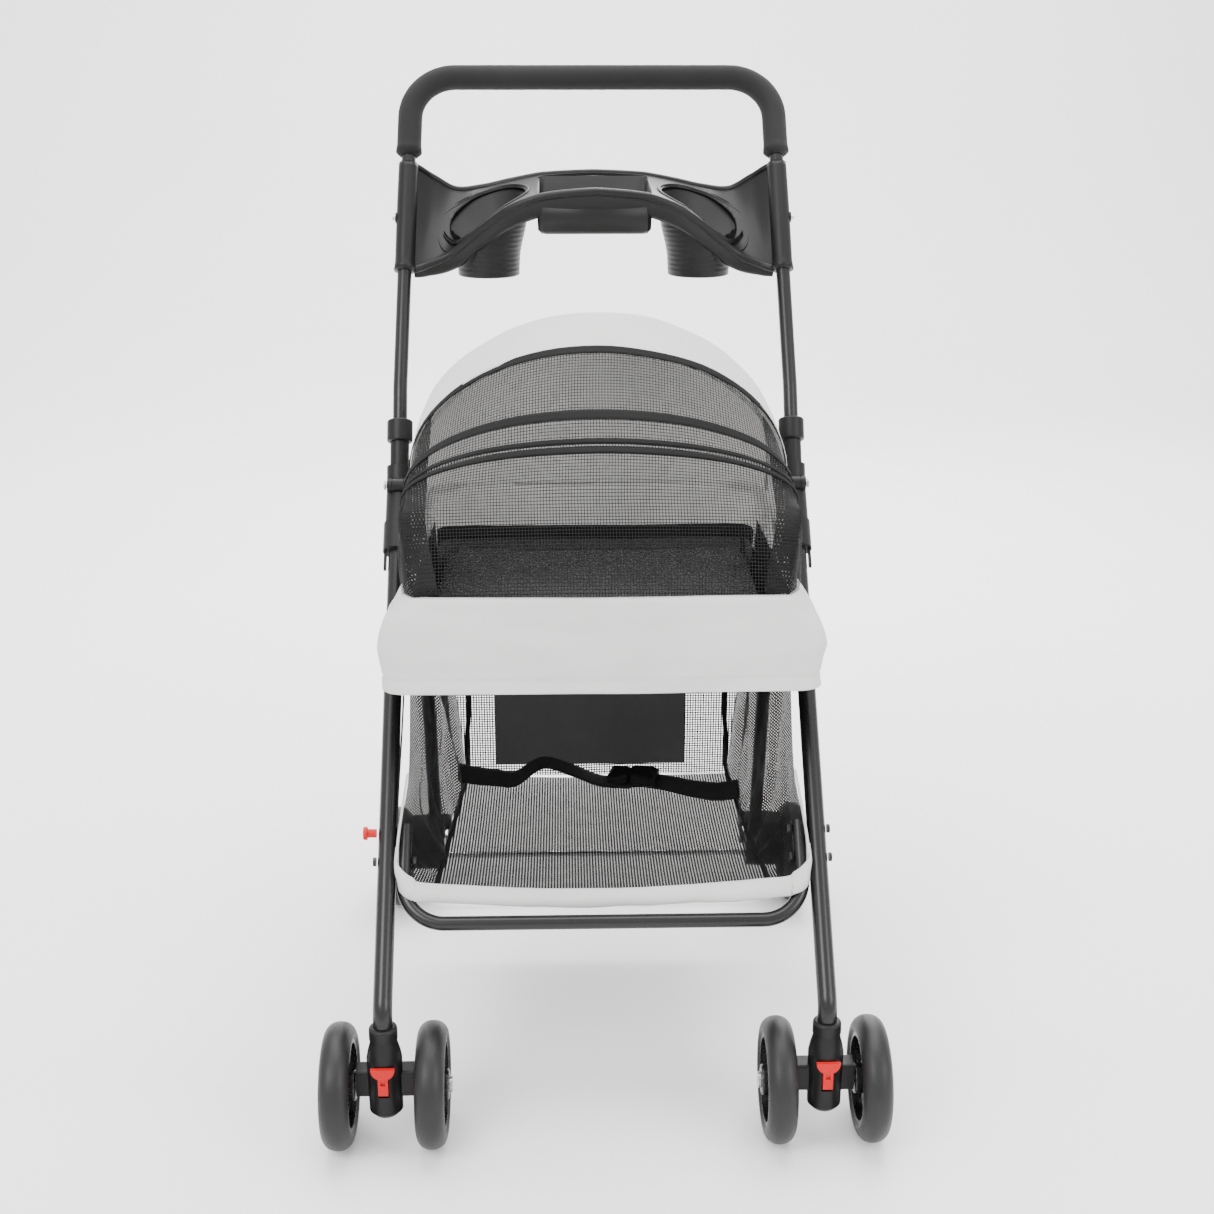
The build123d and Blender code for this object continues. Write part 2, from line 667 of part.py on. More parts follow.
with BuildPart() as seat_rear_bar:
    with Locations(Location(at(0, seat_rear_y - 12, seat_z), (0, 90, 0))):
        Cylinder(7.0, 2 * (seat_lane_x - seat_tube_r))

rim_line = [(cabin_front_y, rim_front_z), (rim_rise[0], rim_front_z), (rim_rise[1], rim_rear_z),
            (cabin_rear_y, rim_rear_z)]
with BuildPart() as cabin_tub:
    with BuildSketch(across(-cabin_half_width)):
        with BuildLine():
            Polyline((cabin_front_y, cabin_floor_z), *rim_line, (cabin_rear_y, cabin_floor_z),
                     (cabin_front_y, cabin_floor_z))
        make_face()
    extrude(amount=2 * cabin_half_width)
    with BuildSketch(across(-cabin_half_width + cabin_wall)):
        with BuildLine():
            low = (cabin_front_y + cabin_wall, cabin_floor_z + 6)
            Polyline(low, (low[0], 700), (cabin_rear_y - cabin_wall, 700), (cabin_rear_y - cabin_wall, low[1]),
                     low)
        make_face()
    extrude(amount=2 * (cabin_half_width - cabin_wall), mode=Mode.SUBTRACT)

with BuildPart() as cabin_pad:
    pad_middle = (cabin_front_y + cabin_rear_y) / 2
    with BuildSketch(Plane(at(0, pad_middle, cabin_floor_z + 6.3))):
        RectangleRounded(2 * (cabin_half_width - cabin_wall) - 6, cabin_rear_y - cabin_front_y - 16, 25)
    extrude(amount=22)
    fillet(cabin_pad.edges().group_by(Axis.Z)[-1], 8)

band_half = 219.0
band_front_y = 112.0
band_rear_y = 234.0
band_low_z = 431.0
band_length = band_rear_y - band_front_y
with BuildPart() as front_band:
    with BuildSketch(Plane(at(0, band_front_y + band_length / 2 + 15, band_low_z))):
        RectangleRounded(2 * band_half, band_length + 30, 26)
        RectangleRounded(2 * band_half - 6, band_length + 24, 23, mode=Mode.SUBTRACT)
        with Locations((0, band_length / 2)):
            Rectangle(3 * band_half, 30, mode=Mode.SUBTRACT)
    extrude(amount=rim_front_z - band_low_z)


# The canopy is a vault: its side outline crossed with an arch that has the same width all along.
arch_z = 600.0
arch_rise = 166.0
vault_outline = [(cabin_front_y + 4, 540), (168, 592), (222, 654), (300, 739), (380, 766), (440, 745),
                 (482, 690), (cabin_rear_y, 610)]


def vault(inset):
    """The closed vault above the cabin's rim, shrunk all round by the inset."""
    base = [(cabin_front_y + 4 + inset, rim_front_z + 0.5), (rim_rise[0] + 1, rim_front_z + 0.5),
            (rim_rise[1] + 1, rim_rear_z + 0.5), (cabin_rear_y - inset, rim_rear_z + 0.5)]
    if inset > 0:
        base = [(cabin_front_y + 4 + inset, 400), (cabin_rear_y - inset, 400)]
    with BuildPart() as shape:
        with BuildSketch(across(-canopy_half_width + inset)):
            with BuildLine():
                crest = [(y + (inset if y < 250 else 0) - (inset if y > 440 else 0), z - inset)
                         for y, z in vault_outline]
                top = Spline(*crest)
                Polyline(top @ 0, *base, top @ 1)
            make_face()
        extrude(amount=2 * (canopy_half_width - inset))
        side_x = canopy_half_width - inset
        with BuildSketch(Plane(at(0, 600, 0), x_dir=(1, 0, 0), z_dir=(0, -1, 0))):
            with Locations((0, arch_z)):
                Ellipse(side_x, arch_rise - inset)
            with Locations((0, arch_z - 100)):
                Rectangle(2 * side_x, 200)
        extrude(amount=600, mode=Mode.INTERSECT)
    return shape


hoop_foot_y = 318.0
hoop_top_y = 300.0
hoop_plane = Plane(at(0, hoop_foot_y, rim_front_z), z_dir=(0, rim_front_z - 739 - 1, hoop_top_y - hoop_foot_y))
with BuildPart() as canopy:
    add(vault(0))
    add(vault(3.0), mode=Mode.SUBTRACT)
    split(bisect_by=hoop_plane, keep=Keep.BOTTOM)
with BuildPart() as mesh_window:
    add(vault(0))
    add(vault(3.0), mode=Mode.SUBTRACT)
    split(bisect_by=hoop_plane.offset(0.3), keep=Keep.TOP)

finish(seat_tube, "seat_tube")
finish(seat_rear_bar, "seat_rear_bar")
finish(cabin_tub, "cabin_tub")
finish(cabin_pad, "cabin_pad")
finish(front_band, "front_band")
finish(canopy, "canopy")
finish(mesh_window, "mesh_window")

with BuildPart() as canopy_hoops:
    for hoop_y, hoop_crest in ((313.0, 739.0), (430.0, 741.0)):
        with BuildLine(Plane(at(0, hoop_y, arch_z), x_dir=(1, 0, 0), z_dir=(0, -1, 0))) as hoop_path:
            hoop_x = canopy_half_width - 8
            hoop_arc = EllipticalCenterArc((0, 0), hoop_x, hoop_crest - arch_z, 0, arc_size=180)
            Line((hoop_x, -44), hoop_arc @ 0)
            Line(hoop_arc @ 1, (-hoop_x, -44))
        with BuildSketch(Plane(at(hoop_x, hoop_y, arch_z - 44))):
            Circle(1.8)
        sweep(path=hoop_path.line)
finish(canopy_hoops, "canopy_hoops")


# ---------------------------------------------------------------- basket
# Cross-sections of the basket, front and rear: Y, floor half-width, floor Z, rim half-width, rim Z.
basket_front = (68.0, 172.0, 228.0, 188.0, 262.0)
basket_rear = (430.0, 158.0, 203.0, 170.0, 300.0)
basket_skin = 3.0
basket_lip_z = 248.0         # the fabric rim across the front


def basket_shell(inset, lift):
    """The basket's bag shape, shrunk by the inset, its rim raised by lift."""
    with BuildPart() as shell:
        for y, floor_half, floor_z, rim_half, rim_z in (basket_front, basket_rear):
            shifted = y + (inset if y < 200 else -inset)
            section = Plane(at(0, shifted, 0), x_dir=(1, 0, 0), z_dir=(0, -1, 0))
            with BuildSketch(section):
                with BuildLine():
                    Polyline((-floor_half + inset, floor_z + inset), (floor_half - inset, floor_z + inset),
                             (rim_half - inset + lift / 4, rim_z + lift),
                             (-rim_half + inset - lift / 4, rim_z + lift),
                             (-floor_half + inset, floor_z + inset))
                make_face()
        loft()
    return shell


with BuildPart() as basket:
    add(basket_shell(0, 0))
    add(basket_shell(basket_skin, 80), mode=Mode.SUBTRACT)
    with BuildSketch(across(-200)):
        with BuildLine():
            Polyline((0, basket_lip_z), (basket_front[0] + 6, basket_lip_z), (basket_front[0] + 40, 268),
                     (basket_front[0] + 40, 400), (0, 400), (0, basket_lip_z))
        make_face()
    extrude(amount=400, mode=Mode.SUBTRACT)

with BuildPart() as basket_sides:
    for sign in (-1, 1):
        with BuildSketch(Plane(at(sign * 178, 268, 306))):
            Rectangle(basket_skin, 318)
        with BuildSketch(Plane(at(sign * 182, 285, 426))):
            Rectangle(basket_skin, 290)
        loft()
    with BuildSketch(Plane(at(0, basket_rear[0] - 3.5, 306))):
        Rectangle(2 * 180, basket_skin)
    extrude(amount=120)

strap_y = 408.0
strap_z = 210.0
with BuildPart() as basket_strap:
    with BuildSketch(Plane(at(0, strap_y, strap_z))):
        RectangleRounded(300, 22, 4)
    extrude(amount=1.5)

with BuildPart() as strap_buckle:
    with BuildSketch(Plane(at(48, strap_y, strap_z + 1.7))):
        RectangleRounded(46, 26, 6)
        with Locations((14, 0)):
            RectangleRounded(6, 18, 2, mode=Mode.SUBTRACT)
    extrude(amount=8)
    fillet(strap_buckle.edges().group_by(Axis.Z)[-1], 1.5)

finish(basket, "basket")
finish(basket_sides, "basket_sides")
finish(basket_strap, "basket_strap")
finish(strap_buckle, "strap_buckle")
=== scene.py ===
import bpy
from math import radians, sin, cos, pi, tan, acos, exp
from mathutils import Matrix, Quaternion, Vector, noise


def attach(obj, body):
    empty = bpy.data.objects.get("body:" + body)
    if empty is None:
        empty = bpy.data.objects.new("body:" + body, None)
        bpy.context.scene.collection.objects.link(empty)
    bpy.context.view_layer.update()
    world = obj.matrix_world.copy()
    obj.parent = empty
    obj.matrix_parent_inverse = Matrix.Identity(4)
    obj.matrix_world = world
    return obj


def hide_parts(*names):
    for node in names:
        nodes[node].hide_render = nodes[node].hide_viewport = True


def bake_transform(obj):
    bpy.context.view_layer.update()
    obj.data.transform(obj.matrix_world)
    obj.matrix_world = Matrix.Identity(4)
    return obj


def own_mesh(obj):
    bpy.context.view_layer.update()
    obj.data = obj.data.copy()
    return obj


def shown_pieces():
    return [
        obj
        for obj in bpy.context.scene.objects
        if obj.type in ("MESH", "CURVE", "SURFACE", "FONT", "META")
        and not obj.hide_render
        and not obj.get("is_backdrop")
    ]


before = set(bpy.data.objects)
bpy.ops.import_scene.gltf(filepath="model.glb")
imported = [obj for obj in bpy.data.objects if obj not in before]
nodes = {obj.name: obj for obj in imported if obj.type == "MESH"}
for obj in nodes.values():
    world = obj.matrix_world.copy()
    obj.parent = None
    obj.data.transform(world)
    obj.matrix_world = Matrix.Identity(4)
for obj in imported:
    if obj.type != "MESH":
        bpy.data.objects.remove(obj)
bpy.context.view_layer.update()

MM = 0.001
AXLE_Y = -290.0      # row-frame Y of the front axle, in millimetres


def P(x, y, z):
    """A point in the row frame from millimetres, with y measured back from the front axle."""
    return Vector((x * MM, (AXLE_Y + y) * MM, z * MM))


# ---------------------------------------------------------------- materials
def new_material(name):
    mat = bpy.data.materials.new(name)
    mat.use_nodes = True
    return mat, mat.node_tree, mat.node_tree.nodes["Principled BSDF"]


def add_node(tree, kind, **values):
    node = tree.nodes.new(kind)
    for key, value in values.items():
        if key in node.inputs:
            node.inputs[key].default_value = value
        else:
            setattr(node, key, value)
    return node


def math_node(tree, operation, a, b):
    node = tree.nodes.new("ShaderNodeMath")
    node.operation = operation
    for slot, value in zip(node.inputs, (a, b)):
        if isinstance(value, (int, float)):
            slot.default_value = value
        else:
            tree.links.new(value, slot)
    return node.outputs[0]


def ramp(tree, source, low, high, start=0.3, end=0.7):
    node = tree.nodes.new("ShaderNodeValToRGB")
    node.color_ramp.elements[0].position = start
    node.color_ramp.elements[1].position = end
    node.color_ramp.elements[0].color = (*low, 1) if hasattr(low, "__len__") else (low, low, low, 1)
    node.color_ramp.elements[1].color = (*high, 1) if hasattr(high, "__len__") else (high, high, high, 1)
    tree.links.new(source, node.inputs[0])
    return node.outputs[0]


def finish_of(name, dark, light, rough, spread, fine, bump, broad=7.0, coat=0.0, sheen=0.0,
              metal=0.0, gleam=0.22):
    """A finish whose colour drifts broadly and whose gloss and relief vary finely."""
    mat, tree, shader = new_material(name)
    place = add_node(tree, "ShaderNodeTexCoord").outputs["Object"]
    wide = add_node(tree, "ShaderNodeTexNoise", Scale=broad, Detail=4.0, Roughness=0.55)
    grain = add_node(tree, "ShaderNodeTexNoise", Scale=fine, Detail=3.0, Roughness=0.6)
    for texture in (wide, grain):
        tree.links.new(place, texture.inputs["Vector"])
    tree.links.new(ramp(tree, wide.outputs[0], dark, light), shader.inputs["Base Color"])
    tree.links.new(ramp(tree, grain.outputs[0], rough - spread, rough + spread), shader.inputs["Roughness"])
    relief = add_node(tree, "ShaderNodeBump", Strength=bump, Distance=0.0006)
    tree.links.new(grain.outputs[0], relief.inputs["Height"])
    tree.links.new(relief.outputs[0], shader.inputs["Normal"])
    shader.inputs["Metallic"].default_value = metal
    shader.inputs["Specular IOR Level"].default_value = gleam
    shader.inputs["Coat Weight"].default_value = coat
    shader.inputs["Sheen Weight"].default_value = sheen
    return mat


def grey(value, warm=0.0):
    return (value * (1 + warm), value, value * (1 - warm))


def cloth_of(name, dark, light, pitch, sheen=0.1, through=0.0):
    """A woven fabric: fine crossing threads over slow changes of tone."""
    mat, tree, shader = new_material(name)
    uv = add_node(tree, "ShaderNodeTexCoord").outputs["UV"]
    place = add_node(tree, "ShaderNodeTexCoord").outputs["Object"]
    wide = add_node(tree, "ShaderNodeTexNoise", Scale=5.0, Detail=5.0)
    tree.links.new(place, wide.inputs["Vector"])
    parts = add_node(tree, "ShaderNodeSeparateXYZ")
    tree.links.new(uv, parts.inputs[0])
    waves = []
    for axis in (0, 1):
        turns = math_node(tree, "MULTIPLY", parts.outputs[axis], 2 * pi / pitch)
        waves.append(math_node(tree, "SINE", turns, 0))
    weave = math_node(tree, "MULTIPLY", waves[0], waves[1])
    speck = add_node(tree, "ShaderNodeTexNoise", Scale=900.0, Detail=2.0)
    tree.links.new(place, speck.inputs["Vector"])
    height = math_node(tree, "ADD", math_node(tree, "MULTIPLY", weave, 0.35), speck.outputs[0])
    tone = math_node(tree, "ADD", math_node(tree, "MULTIPLY", weave, 0.05), wide.outputs[0])
    tree.links.new(ramp(tree, tone, dark, light, 0.3, 0.7), shader.inputs["Base Color"])
    tree.links.new(ramp(tree, speck.outputs[0], 0.72, 0.92), shader.inputs["Roughness"])
    relief = add_node(tree, "ShaderNodeBump", Strength=0.25, Distance=0.0005)
    tree.links.new(height, relief.inputs["Height"])
    tree.links.new(relief.outputs[0], shader.inputs["Normal"])
    shader.inputs["Sheen Weight"].default_value = sheen
    shader.inputs["Specular IOR Level"].default_value = 0.15
    if through:
        glow = add_node(tree, "ShaderNodeBsdfTranslucent")
        tree.links.new(shader.inputs["Base Color"].links[0].from_socket, glow.inputs["Color"])
        both = add_node(tree, "ShaderNodeMixShader", Fac=through)
        tree.links.new(shader.outputs[0], both.inputs[1])
        tree.links.new(glow.outputs[0], both.inputs[2])
        tree.links.new(both.outputs[0], tree.nodes["Material Output"].inputs["Surface"])
    return mat


def net_of(name, colour, pitches, openings):
    """A knitted net: holes of the given shares of the pitch across and along, between the threads."""
    mat, tree, shader = new_material(name)
    uv = add_node(tree, "ShaderNodeTexCoord").outputs["UV"]
    place = add_node(tree, "ShaderNodeTexCoord").outputs["Object"]
    parts = add_node(tree, "ShaderNodeSeparateXYZ")
    tree.links.new(uv, parts.inputs[0])
    near = []
    for axis, pitch, opening in zip((0, 1), pitches, openings):
        cell = math_node(tree, "FRACT", math_node(tree, "MULTIPLY", parts.outputs[axis], 1 / pitch), 0)
        middle = math_node(tree, "ABSOLUTE", math_node(tree, "SUBTRACT", cell, 0.5), 0)
        near.append(math_node(tree, "LESS_THAN", middle, opening / 2))
    hole = math_node(tree, "MULTIPLY", near[0], near[1])
    tree.links.new(math_node(tree, "SUBTRACT", 1.0, hole), shader.inputs["Alpha"])
    wide = add_node(tree, "ShaderNodeTexNoise", Scale=60.0, Detail=3.0)
    tree.links.new(place, wide.inputs["Vector"])
    tone = ramp(tree, wide.outputs[0], grey(colour * 0.7), grey(colour * 1.4))
    tree.links.new(tone, shader.inputs["Base Color"])
    tree.links.new(ramp(tree, wide.outputs[0], 0.55, 0.75), shader.inputs["Roughness"])
    shader.inputs["Specular IOR Level"].default_value = 0.15
    return mat


tube_black = finish_of("tube_black", grey(0.005), grey(0.008), 0.26, 0.02, 900.0, 0.0, gleam=0.35)
plastic = finish_of("moulded_black", grey(0.005), grey(0.009), 0.42, 0.06, 900.0, 0.10)
tray_black = finish_of("tray_black", grey(0.005), grey(0.008), 0.36, 0.05, 900.0, 0.08)
rim_black = finish_of("rim_black", grey(0.005), grey(0.009), 0.28, 0.05, 600.0, 0.05, gleam=0.4)
tyre_black = finish_of("tyre_black", grey(0.008), grey(0.013), 0.44, 0.07, 700.0, 0.10, gleam=0.3)
foam = finish_of("grip_foam", grey(0.008), grey(0.013), 0.85, 0.08, 1500.0, 0.5, sheen=0.05)
red = finish_of("red_plastic", (0.42, 0.002, 0.003), (0.56, 0.004, 0.005), 0.32, 0.07, 380.0, 0.08)
steel = finish_of("steel", grey(0.42), grey(0.6), 0.3, 0.08, 500.0, 0.08, metal=1.0)
dark_steel = finish_of("dark_steel", grey(0.02), grey(0.04), 0.35, 0.08, 500.0, 0.1, metal=0.4)
grey_cloth = cloth_of("grey_cloth", grey(0.68, 0.012), grey(0.78, 0.012), 0.0011, through=0.3)
lining_cloth = cloth_of("lining_cloth", grey(0.075), grey(0.10), 0.0012)
pad_cloth = cloth_of("pad_cloth", grey(0.05), grey(0.075), 0.0012)
binding = cloth_of("binding", grey(0.006), grey(0.011), 0.0012, 0.0)
webbing = cloth_of("webbing", grey(0.010), grey(0.018), 0.0016, 0.1)
NET_PITCH = 0.0031       # metres from one thread to the next
SIDE_PITCH = 0.0034
net = net_of("net", 0.008, (NET_PITCH, NET_PITCH), (0.78, 0.78))
floor_net = net_of("floor_net", 0.010, (NET_PITCH, NET_PITCH), (0.32, 0.32))
side_net = net_of("side_net", 0.008, (SIDE_PITCH, SIDE_PITCH), (0.28, 0.28))
back_net = net_of("back_net", 0.010, (NET_PITCH, NET_PITCH), (0.56, 0.56))


def paint(obj, mat):
    obj.data.materials.clear()
    obj.data.materials.append(mat)


def smooth_cad(obj):
    """Smooth shading on curved faces, with crisp corners kept."""
    for polygon in obj.data.polygons:
        polygon.use_smooth = True
    edge = obj.modifiers.new("soft_edges", "BEVEL")
    edge.width = 0.0006
    edge.segments = 2
    edge.limit_method = "ANGLE"
    edge.angle_limit = radians(40)
    edge.harden_normals = True


cad_finish = {"front_leg": tube_black, "rear_leg": tube_black, "front_brace": tube_black,
              "handle_tube": tube_black, "seat_tube": tube_black, "seat_rear_bar": tube_black,
              "front_tyre": tyre_black, "rear_tyre": tyre_black, "front_rim": rim_black,
              "rear_rim": rim_black, "lock_lever": red, "keeper_stud": red, "caster_axle": steel,
              "rear_axle": steel, "fold_pins": steel, "seat_pins": dark_steel, "link_pins": dark_steel,
              "tray_screws": steel, "brace_bolts": dark_steel, "canopy_hoops": steel}
for name, obj in nodes.items():
    found = [mat for start, mat in cad_finish.items() if name.startswith(start)]
    paint(obj, found[0] if found else plastic)
    smooth_cad(obj)


# ---------------------------------------------------------------- building blocks
def curve_point(p0, p1, p2, p3, t):
    """The point a share t of the way from p1 to p2, on a smooth curve through all four."""
    return ((p1 * 2) + (p2 - p0) * t + (p0 * 2 - p1 * 5 + p2 * 4 - p3) * t ** 2
            + (p1 * 3 - p0 - p2 * 3 + p3) * t ** 3) * 0.5


def smooth_line(points, steps):
    """Points on a smooth curve through the given ones."""
    line = []
    for i in range(len(points) - 1):
        p0 = points[max(i - 1, 0)]
        p1, p2 = points[i], points[i + 1]
        p3 = points[min(i + 2, len(points) - 1)]
        line += [curve_point(p0, p1, p2, p3, k / steps) for k in range(steps)]
    line.append(points[-1])
    return line


def rounded_path(points, radius, steps=10):
    """A path whose inner corners are replaced by arcs of the given radius, in metres."""
    path = [points[0]]
    for before, corner, after in zip(points, points[1:], points[2:]):
        a, b = (before - corner).normalized(), (after - corner).normalized()
        angle = acos(max(-1.0, min(1.0, a.dot(b))))
        centre = corner + (a + b).normalized() * (radius / sin(angle / 2))
        start = corner + a * (radius / tan(angle / 2)) - centre
        end = corner + b * (radius / tan(angle / 2)) - centre
        turn = start.rotation_difference(end)
        for k in range(steps + 1):
            path.append(centre + Quaternion().slerp(turn, k / steps) @ start)
    path.append(points[-1])
    return path


def make_mesh(name, verts, faces, uvs, mat, smooth=True):
    mesh = bpy.data.meshes.new(name)
    mesh.from_pydata([tuple(v) for v in verts], [], faces)
    layer = mesh.uv_layers.new(name="UVMap")
    for loop in mesh.loops:
        layer.data[loop.index].uv = uvs[loop.vertex_index]
    for polygon in mesh.polygons:
        polygon.use_smooth = smooth
    obj = bpy.data.objects.new(name, mesh)
    bpy.context.collection.objects.link(obj)
    mesh.materials.append(mat)
    mesh.update()
    return obj


def sheet_mesh(name, rows, mat, thick=0.0):
    """A sheet through rows of points, with UVs in metres measured along it."""
    count = len(rows[0])
    verts, uvs, faces = [], [], []
    v = 0.0
    for j, row in enumerate(rows):
        if j:
            v += sum((row[i] - rows[j - 1][i]).length for i in range(count)) / count
        lengths = [0.0]
        for i in range(1, count):
            lengths.append(lengths[-1] + (row[i] - row[i - 1]).length)
        for i in range(count):
            verts.append(row[i])
            uvs.append((lengths[i] - lengths[-1] / 2, v))
    for j in range(len(rows) - 1):
        for i in range(count - 1):
            a = j * count + i
            faces.append((a, a + 1, a + count + 1, a + count))
    obj = make_mesh(name, verts, faces, uvs, mat)
    if thick:
        shell = obj.modifiers.new("thickness", "SOLIDIFY")
        shell.thickness = thick
        shell.offset = 0
    return obj


def tube_mesh(name, path, radius, mat, around=20, flat=1.0):
    """A tube along a path. radius is a number, or a function of the share of the path's length."""
    total = sum((b - a).length for a, b in zip(path, path[1:]))
    side = None
    verts, uvs, faces = [], [], []
    gone = 0.0
    for i, point in enumerate(path):
        ahead = (path[min(i + 1, len(path) - 1)] - path[max(i - 1, 0)]).normalized()
        if side is None:
            side = ahead.orthogonal().normalized()
        side = (side - ahead * side.dot(ahead)).normalized()
        up = ahead.cross(side)
        if i:
            gone += (point - path[i - 1]).length
        r = radius(gone / total) if callable(radius) else radius
        for k in range(around):
            turn = 2 * pi * k / around
            verts.append(point + side * (r * cos(turn)) + up * (r * flat * sin(turn)))
            uvs.append((r * turn, gone))
    for i in range(len(path) - 1):
        for k in range(around):
            a, b = i * around + k, i * around + (k + 1) % around
            faces.append((a, b, b + around, a + around))
    verts += [path[0], path[-1]]
    uvs += [(0, 0), (0, gone)]
    last = (len(path) - 1) * around
    for k in range(around):
        faces.append((len(verts) - 2, (k + 1) % around, k))
        faces.append((len(verts) - 1, last + k, last + (k + 1) % around))
    return make_mesh(name, verts, faces, uvs, mat)


def turned(name, centre, profile, mat, around=72):
    """A shape turned round a vertical axis from (radius, height) pairs in millimetres."""
    verts, uvs, faces = [], [], []
    for j, (r, z) in enumerate(profile):
        for k in range(around):
            turn = 2 * pi * k / around
            verts.append(centre + Vector((r * cos(turn), r * sin(turn), z)) * MM)
            uvs.append((r * turn * MM, z * MM))
    for j in range(len(profile) - 1):
        for k in range(around):
            a, b = j * around + k, j * around + (k + 1) % around
            faces.append((a, b, b + around, a + around))
    return make_mesh(name, verts, faces, uvs, mat)


def join(name, objs):
    """One object from several, with their modifiers applied."""
    one_side = sum(sheet_area(obj) for obj in objs)
    depsgraph = bpy.context.evaluated_depsgraph_get()
    for obj in objs:
        mesh = bpy.data.meshes.new_from_object(obj.evaluated_get(depsgraph))
        obj.modifiers.clear()
        obj.data = mesh
    with bpy.context.temp_override(active_object=objs[0], selected_editable_objects=objs, object=objs[0]):
        bpy.ops.object.join()
    objs[0].name = name
    objs[0]["one_side"] = one_side
    return objs[0]


def ruffle(rows, size, stretch, seed):
    """Push a sheet's points along its normals with soft folds of the given size in metres."""
    out = []
    for j, row in enumerate(rows):
        new = []
        for i, point in enumerate(row):
            across = row[min(i + 1, len(row) - 1)] - row[max(i - 1, 0)]
            down = rows[min(j + 1, len(rows) - 1)][i] - rows[max(j - 1, 0)][i]
            normal = across.cross(down)
            normal = normal.normalized() if normal.length > 1e-12 else Vector((0, 0, 1))
            spot = Vector((point.x * stretch[0], point.y * stretch[1], point.z * stretch[2] + seed))
            amount = noise.noise(spot) + 0.4 * noise.noise(spot * 2.3)
            new.append(point + normal * (size * amount))
        out.append(new)
    return out


def sheet_area(obj):
    """The area of one side of a sheet."""
    return obj.get("one_side", sum(polygon.area for polygon in obj.data.polygons))


def declare(obj, body):
    """Say that a sheet was cut flat to this width, as long as its area needs, and let it ride."""
    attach(obj, body)


# ---------------------------------------------------------------- canopy and mesh window
CREST = [P(0, y, z) for y, z in ((143, 519.5), (145, 541), (166, 592), (222, 656), (262, 702), (300, 741),
                                 (340, 760), (380, 766), (420, 757), (452, 738), (478, 702), (491, 655),
                                 (495, 605), (496, 549))]
CREST_STEPS = 8
crest_line = smooth_line(CREST, CREST_STEPS)
HOOP = 5 * CREST_STEPS   # the crest step where the mesh window meets the canopy
SIDE = 203.0             # half the roof's width
ROOF_RIM_Z = 519.5


def vault_row(step):
    """The cabin roof's cross-section at one step along its crest, from the left rim to the right rim."""
    low = int(step)
    share = step - low
    here = crest_line[low].lerp(crest_line[min(low + 1, len(crest_line) - 1)], share)
    y, z = here.y / MM - AXLE_Y, here.z / MM
    half = SIDE - 3 - (34 * max(0.0, (y - 452) / 44) ** 2.2) - (14 * max(0.0, (175 - y) / 32) ** 2)
    rim = ROOF_RIM_Z + 29 * min(1.0, max(0.0, (y - 300) / 41))
    spring = max(rim, min(600.0, z - 6))
    bulge = 3.0 * min(1.0, (z - rim) / 120)
    row = [(12 - half, rim - 2)]
    for k in range(8):
        t = k / 8
        row.append((-half - bulge * sin(pi * t), rim + (spring - rim) * t))
    for k in range(45):
        turn = pi - pi * k / 44
        row.append((half * cos(turn), spring + (z - spring) * sin(turn) ** 0.92))
    for k in range(8):
        t = 1 - (k + 1) / 8
        row.append((half + bulge * sin(pi * t), rim + (spring - rim) * t))
    row.append((half - 12, rim - 2))
    lean = 18 * exp(-((y - 300) / 45) ** 2)
    return [P(x, y + lean * (1 - (zz - 519) / 222), zz) for x, zz in row]


def vault_rows(first, last, count):
    return [vault_row(first + (last - first) * k / (count - 1)) for k in range(count)]


def lifted(rows, height):
    """The same rows, moved outward by a height in metres."""
    centre = P(0, 330, 520)
    return [[point + (point - centre).normalized() * height for point in row] for row in rows]


end_step = len(crest_line) - 1
roof_rows = ruffle(vault_rows(HOOP, end_step, 74), 0.0034, (9, 16, 9), 3.1)
canopy = sheet_mesh("canopy_cloth", roof_rows, grey_cloth, 0.0012)
declare(canopy, "seat_frame")
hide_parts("canopy")
window_rows = ruffle(vault_rows(0, HOOP, 60), 0.0016, (10, 14, 10), 8.4)
window = sheet_mesh("window_net", window_rows, net)
declare(window, "seat_frame")
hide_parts("mesh_window")

for name, first, last in (("window_side_left", 0, 17), ("window_side_right", -17, None)):
    inner_rows = [row[first:last] for row in ruffle(vault_rows(2, HOOP, 40), 0.0030, (14, 20, 14), 5.5)]
    inner = sheet_mesh(name, lifted(inner_rows, -0.002), side_net)
    declare(inner, "seat_frame")


def strip(name, step, half_steps, height, mat, trim=(0, 0), thick=0.0012):
    """A narrow band sewn on the roof along one cross-section."""
    rows = ruffle(vault_rows(step - half_steps, step + half_steps, 5), 0.0016, (10, 14, 10), 8.4)
    rows = [row[trim[0]:len(row) - trim[1]] for row in lifted(rows, height)]
    band = sheet_mesh(name, rows, mat, thick)
    declare(band, "seat_frame")
    return band


strip("window_top_binding", HOOP - 0.3, 0.8, 0.0012, binding)
strip("window_middle_band", 3.55 * CREST_STEPS, 0.75, 0.0012, binding, (4, 4))
strip("zip_tape_upper", 24.6, 0.28, 0.0014, binding)
strip("zip_tape_lower", 23.4, 0.28, 0.0014, binding)
strip("zip_tape_base", 24.0, 0.95, 0.0006, net)


# ---------------------------------------------------------------- front band
BAND_END_Y = 236
BAND_CORNER = 22.0
BAND_TOP_Z = 520.0
BAND_HEIGHT = 89.0


